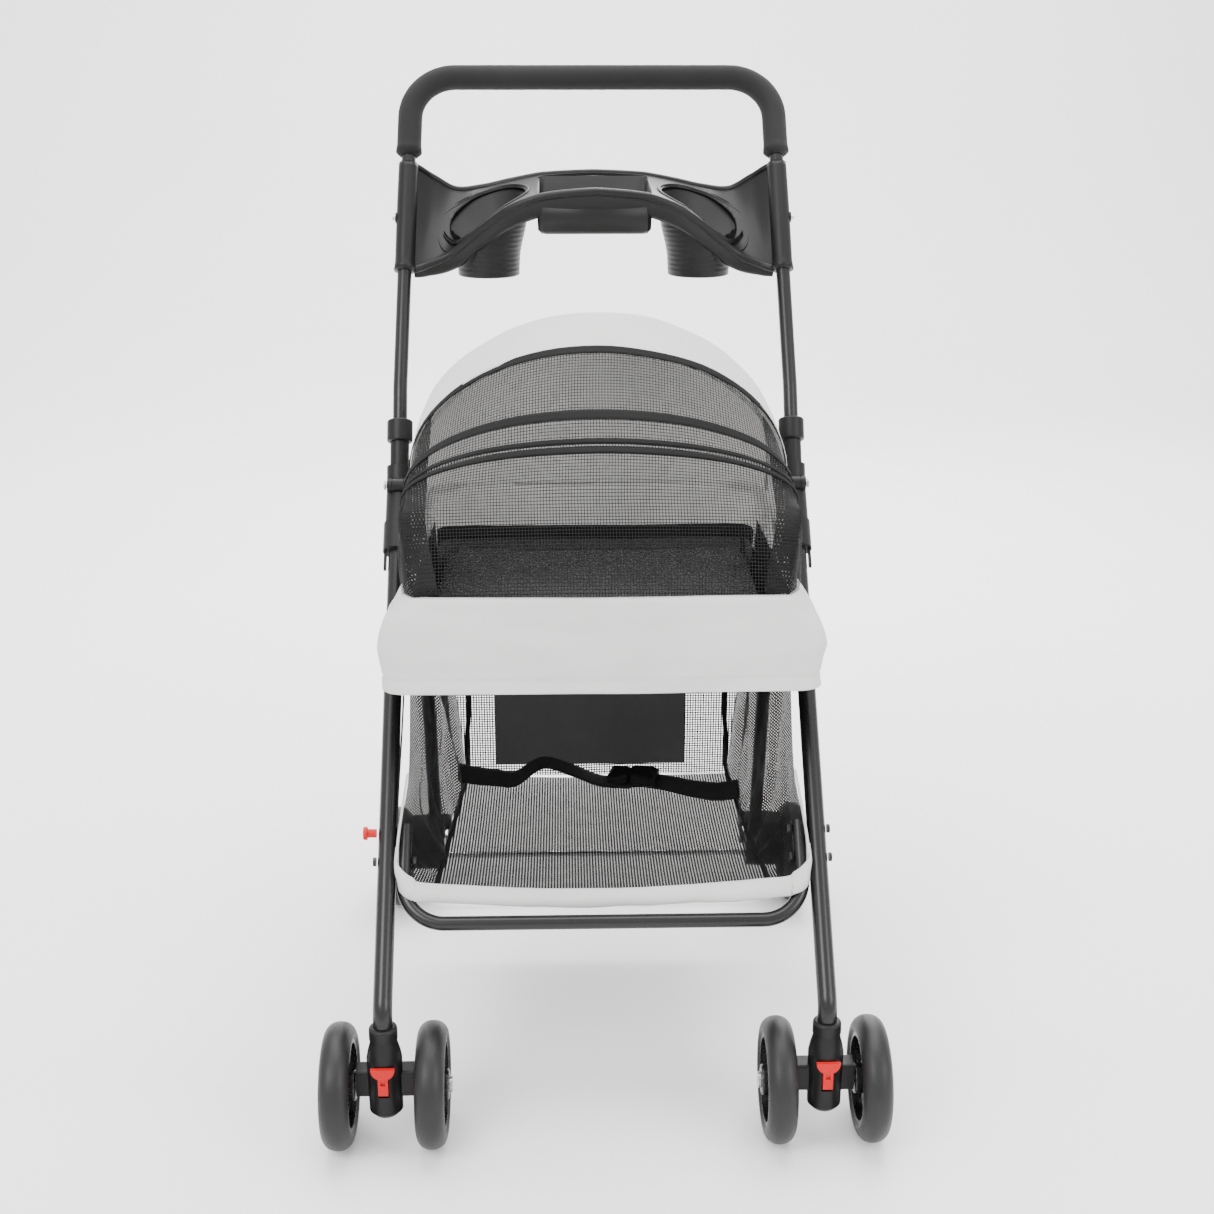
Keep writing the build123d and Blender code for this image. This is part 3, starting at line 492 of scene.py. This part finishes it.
def band_row(share):
    """The light band round the cabin's front at a share of its height from the top."""
    swell = sin(pi * min(1.0, share * 0.8)) * 5.0
    half = 197 + 27 * sin(pi / 2 * min(1.0, share / 0.55)) - 5 * max(0.0, share - 0.55) / 0.45
    front = 138 - 20 * min(1.0, share) ** 0.8 - swell
    z = BAND_TOP_Z - BAND_HEIGHT * share
    corner = BAND_CORNER
    pts = []
    for k in range(14):
        pts.append((-half, BAND_END_Y - (BAND_END_Y - front - corner) * k / 14))
    for k in range(10):
        turn = pi + pi / 2 * k / 10
        pts.append((-half + corner + corner * cos(turn), front + corner + corner * sin(turn)))
    for k in range(71):
        x = -half + corner + (2 * half - 2 * corner) * k / 70
        pts.append((x, front - 3.0 * cos(x / half * pi / 2)))
    for k in range(1, 11):
        turn = -pi / 2 + pi / 2 * k / 10
        pts.append((half - corner + corner * cos(turn), front + corner + corner * sin(turn)))
    for k in range(1, 15):
        pts.append((half, front + corner + (BAND_END_Y - front - corner) * k / 14))
    return [P(x, y, z) for x, y in pts]


band_rows = [band_row(k / 44) for k in range(45)]
band_rows = ruffle(band_rows, 0.0042, (6, 8, 26), 1.7)
for k in (37, 38):
    band_rows[k] = [p + (P(0, 300, p.z / MM) - p).normalized() * 0.0012 for p in band_rows[k]]
tucked = [[P(0, 330, 520).lerp(p, 0.97) + Vector((0, 0, 0.001)) for p in band_rows[0]]]
band = sheet_mesh("front_band_cloth", tucked + band_rows, grey_cloth, 0.0022)
declare(band, "seat_frame")
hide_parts("front_band")


# ---------------------------------------------------------------- cabin
def ring(half, front, back, corner, z_at, sides_count=16):
    """A closed rounded rectangle whose height is a function of y."""
    pts = []
    corners = [(half - corner, back - corner, 0), (-half + corner, back - corner, 90),
               (-half + corner, front + corner, 180), (half - corner, front + corner, 270)]
    for n, (cx, cy, start) in enumerate(corners):
        for k in range(9):
            turn = radians(start + 90 * k / 8)
            pts.append((cx + corner * cos(turn), cy + corner * sin(turn)))
        nx, ny, nstart = corners[(n + 1) % 4]
        end = (nx + corner * cos(radians(nstart)), ny + corner * sin(radians(nstart)))
        last = pts[-1]
        for k in range(1, sides_count):
            pts.append((last[0] * (1 - k / sides_count) + end[0] * k / sides_count,
                        last[1] * (1 - k / sides_count) + end[1] * k / sides_count))
    pts.append(pts[0])
    return [P(x, y, z_at(y)) for x, y in pts]


def rim_z(y):
    return 521 + 30 * min(1.0, max(0.0, (y - 300) / 41))


CABIN_HALF, CABIN_FRONT, CABIN_BACK, CABIN_CORNER = 190, 139.5, 495.5, 14
CABIN_FLOOR_Z = 444.5
shell_rows = [ring(CABIN_HALF, CABIN_FRONT, CABIN_BACK, CABIN_CORNER,
                   lambda y, t=k / 10: CABIN_FLOOR_Z + (rim_z(y) - CABIN_FLOOR_Z) * t) for k in range(11)]
shell_rows = ruffle(shell_rows, 0.0012, (12, 12, 20), 5.0)
shell = sheet_mesh("cabin_shell", shell_rows, grey_cloth, 0.0016)
HALF_DEPTH = (CABIN_BACK - CABIN_FRONT) / 2
base_rows = [ring(CABIN_HALF * s, CABIN_FRONT + HALF_DEPTH * (1 - s), CABIN_BACK - HALF_DEPTH * (1 - s),
                  CABIN_CORNER * s, lambda y: 445.0)
             for s in (1.0, 0.8, 0.5, 0.2, 0.02)]
base = sheet_mesh("cabin_base", base_rows, binding, 0.0016)
shell = join("cabin_shell", [shell, base])
declare(shell, "seat_frame")
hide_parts("cabin_tub")
LINING_GAP = 3.5
LINING_FOOT_Z, LINING_SIDE_RISE, LINING_REAR_RISE, LINING_REAR_Y = 449, 70, 26, 440
lining_rows = [ring(CABIN_HALF - LINING_GAP, CABIN_FRONT + LINING_GAP, CABIN_BACK - LINING_GAP, 12,
                    lambda y, t=k / 10: LINING_FOOT_Z
                    + (LINING_SIDE_RISE if y < LINING_REAR_Y else LINING_REAR_RISE) * t) for k in range(11)]
lining = sheet_mesh("cabin_lining", ruffle(lining_rows, 0.0012, (14, 14, 20), 9.0), side_net, 0.0008)
declare(lining, "seat_frame")


def back_panel(low, high, near, count):
    """Rows of a panel standing against the cabin's rear wall, its ends turned forward along the sides."""
    rows = []
    for k in range(count):
        z = low + (high - low) * k / (count - 1)
        line = [P(-183, near - 30, z), P(-183, near - 12, z), P(-176, near - 2, z)]
        line += [P(-168 + 336 * i / 40, near, z) for i in range(41)]
        line += [P(176, near - 2, z), P(183, near - 12, z), P(183, near - 30, z)]
        rows.append(line)
    return rows


rear_lining = sheet_mesh("rear_lining", ruffle(back_panel(449, 487, 488, 10), 0.0016, (12, 10, 20), 9.0),
                         lining_cloth, 0.0016)
declare(rear_lining, "seat_frame")
edge_rows = ruffle(back_panel(486, 501, 486.5, 6), 0.0022, (12, 10, 20), 9.0)
lining_edge = sheet_mesh("rear_lining_edge", edge_rows, binding, 0.003)
declare(lining_edge, "seat_frame")
toggle_line = smooth_line([P(171, 484, 497), P(174, 478, 476), P(170, 470, 460), P(176, 455, 452)], 10)
toggle = tube_mesh("drawcord", toggle_line, 0.0016, binding, 8)
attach(toggle, "seat_frame")


def puffed(node, name, mat, pressure, cap):
    """A padded copy of a CAD node, swelled by a short cloth simulation."""
    source = nodes[node]
    pad = source.copy()
    pad.data = source.data.copy()
    pad.name = name
    pad.modifiers.clear()
    pad.parent = None
    bpy.context.collection.objects.link(pad)
    grain = pad.modifiers.new("grain", "REMESH")
    grain.mode = "VOXEL"
    grain.voxel_size = 0.006
    depsgraph = bpy.context.evaluated_depsgraph_get()
    pad.data = bpy.data.meshes.new_from_object(pad.evaluated_get(depsgraph))
    pad.modifiers.clear()
    rest = [v.co.copy() for v in pad.data.vertices]
    scene = bpy.context.scene
    cloth = pad.modifiers.new("stuffing", "CLOTH")
    cloth.settings.use_pressure = True
    cloth.settings.uniform_pressure_force = pressure
    cloth.settings.effector_weights.gravity = 0.0
    cloth.settings.quality = 6
    for number in range(1, 21):
        scene.frame_set(number)
    depsgraph = bpy.context.evaluated_depsgraph_get()
    swelled = bpy.data.meshes.new_from_object(pad.evaluated_get(depsgraph))
    pad.modifiers.clear()
    pad.data = swelled
    scene.frame_set(1)
    for v, start in zip(pad.data.vertices, rest):
        move = v.co - start
        if move.length > cap:
            move = move.normalized() * cap
        wrinkle = noise.noise(Vector((start.x * 22, start.y * 22, start.z * 40)))
        v.co = start + move + Vector((0, 0, 0.0012 * wrinkle))
    for polygon in pad.data.polygons:
        polygon.use_smooth = True
    finer = pad.modifiers.new("finer", "SUBSURF")
    finer.levels = finer.render_levels = 1
    paint(pad, mat)
    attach(pad, "seat_frame")
    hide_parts(node)
    return pad


puffed("cabin_pad", "cabin_cushion", pad_cloth, 4.0, 0.006)


# ---------------------------------------------------------------- basket
floor_rows = []
for k in range(50):
    t = k / 49
    y = 70 + 360 * t
    half = 173 - 16 * t
    z = 228 - 23 * t - 5 * sin(pi * t)
    floor_rows.append([P(half * (-1 + 2 * i / 40), y, z - 3 * (1 - (2 * i / 40 - 1) ** 2))
                       for i in range(41)])
floor_sheet = sheet_mesh("basket_floor", ruffle(floor_rows, 0.0018, (9, 9, 9), 2.0), floor_net)
back_rows = []
for k in range(36):
    t = k / 35
    half = 157 + 27 * t ** 1.3
    back_rows.append([P(half * (-1 + 2 * i / 40), 430 - 4 * sin(pi * t), 205 + 222 * t) for i in range(41)])
back_sheet = sheet_mesh("basket_back", ruffle(back_rows, 0.003, (14, 5, 5), 6.0), back_net)
side_sheets = []
for sign in (-1, 1):
    front_edge = [P(sign * 173, 70, 228), P(sign * 205, 100, 268), P(sign * 198, 150, 331),
                  P(sign * 198, 205, 427)]
    rear_edge = [P(sign * 157, 430, 205), P(sign * 163, 430, 280), P(sign * 172, 430, 350),
                 P(sign * 184, 430, 427)]
    front_edge = smooth_line(front_edge, 12)
    rear_edge = smooth_line(rear_edge, 12)
    rows = []
    for a, b in zip(front_edge, rear_edge):
        row = []
        for i in range(46):
            t = i / 45
            point = a.lerp(b, t)
            slack = sin(pi * t) * sin(pi * min(1, (point.z - 0.205) / 0.222))
            row.append(point + Vector((-sign * 0.007 * slack, 0, 0)))
        rows.append(row)
    folds = ruffle(rows, 0.011, (5, 30, 7), 4.0 + sign)
    rows = [[p.lerp(q, min(1.0, 4 * i / 45, 4 * (45 - i) / 45)) for i, (p, q) in enumerate(zip(r, f))]
            for r, f in zip(rows, folds)]
    side_sheets.append(sheet_mesh("basket_side", rows, side_net))
pocket_rows = [[P(-121 + 225 * i / 24, 417, 224 + 196 * k / 12) for i in range(25)] for k in range(13)]
pocket = sheet_mesh("back_pocket", ruffle(pocket_rows, 0.0015, (14, 5, 9), 3.0), lining_cloth)
seams = []
for sign in (-1, 1):
    seam = smooth_line([P(sign * 190, 76, 240), P(sign * 173, 82, 229), P(sign * 165, 240, 214),
                        P(sign * 157, 428, 207), P(sign * 155, 426, 250), P(sign * 152, 424, 320),
                        P(sign * 170, 427, 424)], 10)
    seams.append(tube_mesh("seam", seam, 0.0028, binding, 8))
basket_cloth = join("basket_net", [floor_sheet, back_sheet, pocket] + side_sheets + seams)
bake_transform(basket_cloth)
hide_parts("basket", "basket_sides")

low_edge = smooth_line([P(-208, 94, 244), P(-204, 72, 236), P(-190, 64, 231), P(-165, 66, 228),
                        P(0, 66, 221), P(165, 66, 229), P(190, 64, 233),
                        P(204, 72, 238), P(208, 94, 246)], 12)
top_edge = smooth_line([P(-208, 100, 272), P(-206, 84, 262), P(-192, 75, 251), P(-165, 73, 244),
                        P(0, 69, 239),
                        P(165, 73, 246), P(192, 75, 253), P(206, 84, 263), P(208, 100, 272)], 12)
lip_rows = [[a.lerp(b, k / 12) + Vector((0, -0.0035 * sin(pi * k / 12), 0))
             for a, b in zip(low_edge, top_edge)] for k in range(13)]
lip = sheet_mesh("basket_lip", ruffle(lip_rows, 0.0030, (20, 10, 40), 7.0), grey_cloth, 0.0026)
edge_parts = [lip]
for sign in (-1, 1):
    inner = smooth_line([P(sign * 204, 97, 240), P(sign * 206, 101, 268), P(sign * 203, 122, 297),
                         P(sign * 198, 150, 331)], 10)
    rows = []
    for k in range(5):
        width = [0.011 * (1 - i / (len(inner) - 1)) + 0.002 for i in range(len(inner))]
        rows.append([p + Vector((sign * 0.001, -w * k / 4, 0.3 * w * k / 4)) for p, w in zip(inner, width)])
    edge_parts.append(sheet_mesh("basket_side_edge", rows, grey_cloth, 0.0022))
lip = join("basket_lip", edge_parts)
declare(lip, "front_frame")

tie_path = smooth_line([P(-203, 204, 428), P(-205, 170, 372), P(-207, 138, 328), P(-208, 108, 290)], 12)
tie = tube_mesh("edge_tie", tie_path, 0.0009, binding, 8)
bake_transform(tie)


def ribbon(name, points, width, mat, thick, lean):
    """A flat strap along a path. lean turns its width up from the level."""
    path = smooth_line(points, 12)
    rows = []
    for k in range(7):
        side = (k / 6 - 0.5) * width
        turns = [lean + 0.9 * abs(2 * i / (len(path) - 1) - 1) ** 1.5 for i in range(len(path))]
        rows.append([p + Vector((0, side * cos(a), side * sin(a) * 0.8)) for p, a in zip(path, turns)])
    return sheet_mesh(name, rows, mat, thick)


strap = ribbon("strap_webbing", [P(-164, 392, 226), P(-146, 398, 219), P(-120, 402, 214), P(-96, 402, 213),
                                 P(-64, 408, 231), P(-30, 404, 222), P(2, 398, 211), P(30, 388, 213),
                                 P(52, 384, 217), P(80, 382, 214), P(110, 372, 211), P(140, 362, 211),
                                 P(164, 352, 219)], 0.026, webbing, 0.0016, 0.15)
declare(strap, "front_frame")
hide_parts("basket_strap")


def buckle_part(name, points, height, centre, turn):
    """A flat moulded plate with rounded edges, from an outline in millimetres."""
    verts, uvs, faces = [], [], []
    spin = Quaternion((0, 0, 1), turn)
    for level, inset in ((0, 0.9), (0.18, 1.0), (0.82, 1.0), (1.0, 0.86)):
        for x, y in points:
            verts.append(centre + spin @ Vector((x * inset, y * inset, height * (level - 0.5))) * MM)
            uvs.append((x * MM, y * MM))
    count = len(points)
    for j in range(3):
        for k in range(count):
            a, b = j * count + k, j * count + (k + 1) % count
            faces.append((a, b, b + count, a + count))
    faces.append(tuple(range(count - 1, -1, -1)))
    faces.append(tuple(range(3 * count, 4 * count)))
    return make_mesh(name, verts, faces, uvs, plastic, smooth=False)


socket = buckle_part("buckle_socket", [(-2, -16), (20, -18), (27, -14), (27, 14), (20, 18), (-2, 16),
                                       (-6, 10), (-6, -10)], 14, P(44, 387, 222), -0.25)
prongs = buckle_part("buckle_prongs", [(-26, -15), (-12, -17), (-3, -13), (2, -8), (2, 8), (-3, 13),
                                       (-12, 17), (-26, 15)], 11, P(40, 388, 221), -0.25)
loop = buckle_part("buckle_loop", [(26, -14), (31, -14), (31, 14), (26, 14)], 6, P(40, 387, 219), -0.25)
buckle = join("side_buckle", [socket, prongs, loop])
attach(buckle, "front_frame")
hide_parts("strap_buckle")


# ---------------------------------------------------------------- handle
HANDLE_FOOT_Z, HANDLE_TOP_Z = 675, 1005


def handle_at(height, sign, push=0.0):
    """A point on the handle's side tube at a height, pushed outward by some millimetres."""
    share = (height - HANDLE_FOOT_Z) / (HANDLE_TOP_Z - HANDLE_FOOT_Z)
    return P(sign * (220 - 9 * share + push), 445 + 186 * share, height)


grip_path = rounded_path([handle_at(919, -1), P(-211, 631, HANDLE_TOP_Z), P(211, 631, HANDLE_TOP_Z),
                          handle_at(919, 1)], 0.052, 16)
fine_path = []
for a, b in zip(grip_path, grip_path[1:]):
    steps = max(1, int((b - a).length / 0.004))
    fine_path += [a.lerp(b, k / steps) for k in range(steps)]
fine_path.append(grip_path[-1])


def grip_radius(share):
    """Foam 28 mm across, bulging and rounding off at its cut ends."""
    end = min(share, 1 - share) * 0.62
    lip_bulge = 0.0011 * exp(-((end - 0.006) / 0.004) ** 2)
    round_off = 0.0035 * max(0.0, 1 - end / 0.004) ** 2
    return 0.0141 + lip_bulge - round_off


grip = tube_mesh("foam_grip", fine_path, grip_radius, foam, 36)
for v in grip.data.vertices:
    v.co += v.co.normalized() * 0.0002 * noise.noise(v.co * 180)
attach(grip, "handle_frame")
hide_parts("handle_grip")


# ---------------------------------------------------------------- cup tray
TRAY_DIP = 4.0           # how far the plate sinks between its edges
# distance from the middle, then y and z of the front edge and of the back edge
STATIONS = [(0, 480, 886, 600, 899), (60, 484, 880, 601, 896), (98, 492, 865, 602, 889),
            (130, 508, 841, 604, 882), (162, 522, 815, 602, 880),
            (190, 521, 802, 592, 896), (208, 515, 797, 579, 908)]
stations = [Vector((s[1], s[2], 0)) for s in STATIONS], [Vector((s[3], s[4], 0)) for s in STATIONS]


def station(x):
    """The tray's front and back edge, (y, z) each, at a distance from the middle."""
    x = abs(x)
    for i in range(len(STATIONS) - 1):
        if x <= STATIONS[i + 1][0] or i == len(STATIONS) - 2:
            a, b = STATIONS[i], STATIONS[i + 1]
            t = min(1.0, (x - a[0]) / (b[0] - a[0]))
            found = []
            for edge in stations:
                p0, p1, p2 = edge[max(i - 1, 0)], edge[i], edge[i + 1]
                p3 = edge[min(i + 2, len(edge) - 1)]
                found.append(curve_point(p0, p1, p2, p3, t))
            return found


def tray_point(x, share):
    front, back = station(x)
    y = front.x + (back.x - front.x) * share
    z = front.y + (back.y - front.y) * share
    dip = TRAY_DIP * sin(pi * share) * (1 - (abs(x) / 208) ** 4)
    return P(x, y, z - dip)


def surface_z(x, y, above):
    """The height of the tray's top at a place, plus a little."""
    front, back = station(x)
    share = (y - front.x) / (back.x - front.x)
    return front.y + (back.y - front.y) * share - TRAY_DIP * sin(pi * max(0, min(1, share))) + above


top_rows = [[tray_point(-208 + 416 * i / 104, k / 26) for i in range(105)] for k in range(27)]
plate = sheet_mesh("tray_plate", top_rows, tray_black)
body = plate.modifiers.new("skin", "SOLIDIFY")
body.thickness = 0.003
body.offset = 0
CUP_X, CUP_Y = 122.0, 551.0


def flare(z, middle, x):
    """How much wider than round the cup's mouth is, more on the side towards the clamp."""
    rise = max(0.0, min(1.0, (z - 806) / 45))
    outer = abs(x) > abs(middle)
    return 1 + (0.42 if outer else 0.16) * rise * rise * (3 - 2 * rise)


def cutter(name, radius_low, radius_high, x):
    shape = turned(name, P(x, CUP_Y, 0), [(0.01, 780), (radius_low, 780), (radius_high, 930), (0.01, 930)],
                   tray_black, 64)
    for v in shape.data.vertices:
        v.co.x = x * MM + (v.co.x - x * MM) * flare(v.co.z / MM, x, v.co.x / MM)
    shape.hide_render = True
    return shape


holes = [cutter("cup_hole", 35.0, 41.2, sign * CUP_X) for sign in (-1, 1)]
POCKET_Y, POCKET_FLOOR_Z = 541, 840
pocket_outline = [(64, -50), (64, 47), (58, 53), (-58, 53), (-64, 47), (-64, -50), (-58, -56), (58, -56)]
hole = buckle_part("pocket_hole", pocket_outline, 150, P(0, POCKET_Y, 915), 0.0)
holes.append(hole)
for number, tool in enumerate(holes):
    cut = plate.modifiers.new(f"cut_{number}", "BOOLEAN")
    cut.operation = "DIFFERENCE"
    cut.solver = "EXACT"
    cut.object = tool
plate = join("tray_plate", [plate])
for tool in holes:
    bpy.data.objects.remove(tool, do_unlink=True)

tray_parts = [plate]


def cup_shell(sign):
    """A cup body with fine steps on its outside, its rim following the tray's surface."""
    outer = [(0.01, 786), (33, 786), (35.2, 787)]
    z = 788.0
    while z < 905:
        r = 35.6 + (z - 788) * 0.052
        outer += [(r, z), (r, z + 4.6), (r + 0.3, z + 5.0)]
        z += 5.4
    outer += [(42.0, 905)]
    inner = [(39.4, 905), (33.6, 789), (31, 788.4), (0.01, 788.4)]
    cup = turned("cup_body", P(sign * CUP_X, CUP_Y, 0), outer + inner, tray_black, 80)
    for v in cup.data.vertices:
        x, y, z = v.co.x / MM, v.co.y / MM - AXLE_Y, v.co.z / MM
        v.co.z = min(z, surface_z(x, y, 1.5)) * MM
        v.co.x = sign * CUP_X * MM + (v.co.x - sign * CUP_X * MM) * flare(v.co.z / MM, CUP_X, x)
    rim_path = []
    for k in range(64):
        turn = 2 * pi * k / 63
        x, y = sign * CUP_X + 40.8 * cos(turn), CUP_Y + 40.8 * sin(turn)
        x = sign * CUP_X + (x - sign * CUP_X) * flare(850, CUP_X, x)
        rim_path.append(P(x, y, surface_z(x, y, 1.5)))
    return [cup, tube_mesh("cup_rim", rim_path, 0.0019, tray_black, 10)]


for sign in (-1, 1):
    tray_parts += cup_shell(sign)
    foot, head = handle_at(796, sign), handle_at(910, sign)
    clamp_path = [foot.lerp(head, k / 24) for k in range(25)]
    tray_parts.append(tube_mesh("tray_clamp", clamp_path, lambda t: 0.0112 + 0.0012 * exp(-(t / 0.05) ** 2)
                                + 0.0004 * sin(pi * t), tray_black, 28))
    boss = [handle_at(852, sign, reach) + Vector((sign * 0.0002, 0, 0)) for reach in (9.5, 12.4)]
    tray_parts.append(tube_mesh("screw_boss", boss, 0.0062, tray_black, 24))
for share, thick in ((0.0, 0.0046), (1.0, 0.0040)):
    edge = [tray_point(-206 + 412 * i / 120, share) for i in range(121)]
    tray_parts.append(tube_mesh("tray_edge", edge, thick, tray_black, 14))
skirt = []
for k in range(7):
    t = k / 6
    line = []
    for i in range(121):
        x = -206 + 412 * i / 120
        deep = 0.022 - 0.013 * max(0.0, (abs(x) - 150) / 56)
        line.append(tray_point(x, 0.0) + Vector((0, 0.35 * deep * t * t, -deep * t)))
    skirt.append(line)
tray_parts.append(sheet_mesh("tray_skirt", skirt, tray_black, 0.003))
walls = []
for level, inset in ((60, 0), (4, -1.5), (0, -5), (0, -60)):
    ring_points = [(x * (1 + inset / 64), y * (1 + inset / 56)) for x, y in pocket_outline]
    walls.append([P(x, POCKET_Y + y, POCKET_FLOOR_Z + level) for x, y in ring_points + ring_points[:1]])
for p in walls[0]:
    p.z = surface_z(p.x / MM, p.y / MM - AXLE_Y, 1.0) * MM
tray_parts.append(sheet_mesh("pocket_shell", walls, tray_black, 0.0026))
tray = join("moulded_tray", tray_parts)
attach(tray, "handle_frame")
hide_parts("cup_tray")


# ---------------------------------------------------------------- floor, light and camera
def stage_material():
    mat, tree, shader = new_material("floor_paper")
    place = add_node(tree, "ShaderNodeTexCoord").outputs["Object"]
    haze = add_node(tree, "ShaderNodeTexNoise", Scale=0.8, Detail=2.0)
    tree.links.new(place, haze.inputs["Vector"])
    tree.links.new(ramp(tree, haze.outputs[0], grey(0.86), grey(0.9)), shader.inputs["Base Color"])
    shader.inputs["Roughness"].default_value = 0.8
    return mat


SWEEP_Y, SWEEP_R = 3.0, 2.5      # where the paper starts to curve up, and the curve's radius, in metres
sweep = [(-6.0, 0.0), (SWEEP_Y, 0.0)]
sweep += [(SWEEP_Y + SWEEP_R * sin(k * pi / 24), SWEEP_R - SWEEP_R * cos(k * pi / 24)) for k in range(13)]
sweep.append((5.5, 9.0))
ground = sheet_mesh("studio_floor", [[Vector((-9 + 18 * i, y, z)) for i in range(2)] for y, z in sweep],
                    stage_material())
ground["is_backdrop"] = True
world = bpy.data.worlds.new("studio")
bpy.context.scene.world = world
world.use_nodes = True
world.node_tree.nodes["Background"].inputs["Color"].default_value = (1.0, 1.0, 1.0, 1.0)
world.node_tree.nodes["Background"].inputs["Strength"].default_value = 1.7


def lamp(name, place, aim, size, power):
    data = bpy.data.lights.new(name, "AREA")
    data.shape = "RECTANGLE"
    data.size, data.size_y = size
    data.energy = power
    obj = bpy.data.objects.new(name, data)
    bpy.context.collection.objects.link(obj)
    obj.location = place
    obj.rotation_euler = (Vector(aim) - Vector(place)).to_track_quat("-Z", "Y").to_euler()


lamp("key", (-1.6, -2.2, 2.6), (0, 0, 0.5), (1.6, 1.6), 80)
lamp("fill", (2.2, -1.8, 1.8), (0, 0, 0.5), (1.6, 1.6), 45)
lamp("top", (0, 0.4, 3.0), (0, 0, 0.4), (2.4, 2.4), 100)
lamp("rim", (0.8, 2.6, 1.8), (0, 0, 0.6), (1.8, 1.2), 40)
lamp("backdrop", (0, 1.6, 3.4), (0, 4.5, 1.0), (3.0, 1.0), 260)

camera_data = bpy.data.cameras.new("camera")
camera_data.lens = 50.4
camera_data.sensor_width = 36.0
camera = bpy.data.objects.new("camera", camera_data)
bpy.context.collection.objects.link(camera)
camera.location = (-0.036, -1.747, 1.034)
camera.rotation_euler = (radians(90 - 18.1), 0, radians(-1.47))
bpy.context.scene.camera = camera

roof_pieces = [canopy, window]
roof_pieces += [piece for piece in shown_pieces()
                if piece.name.startswith(("window_", "zip_")) and piece != window]
for piece in roof_pieces:
    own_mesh(piece)
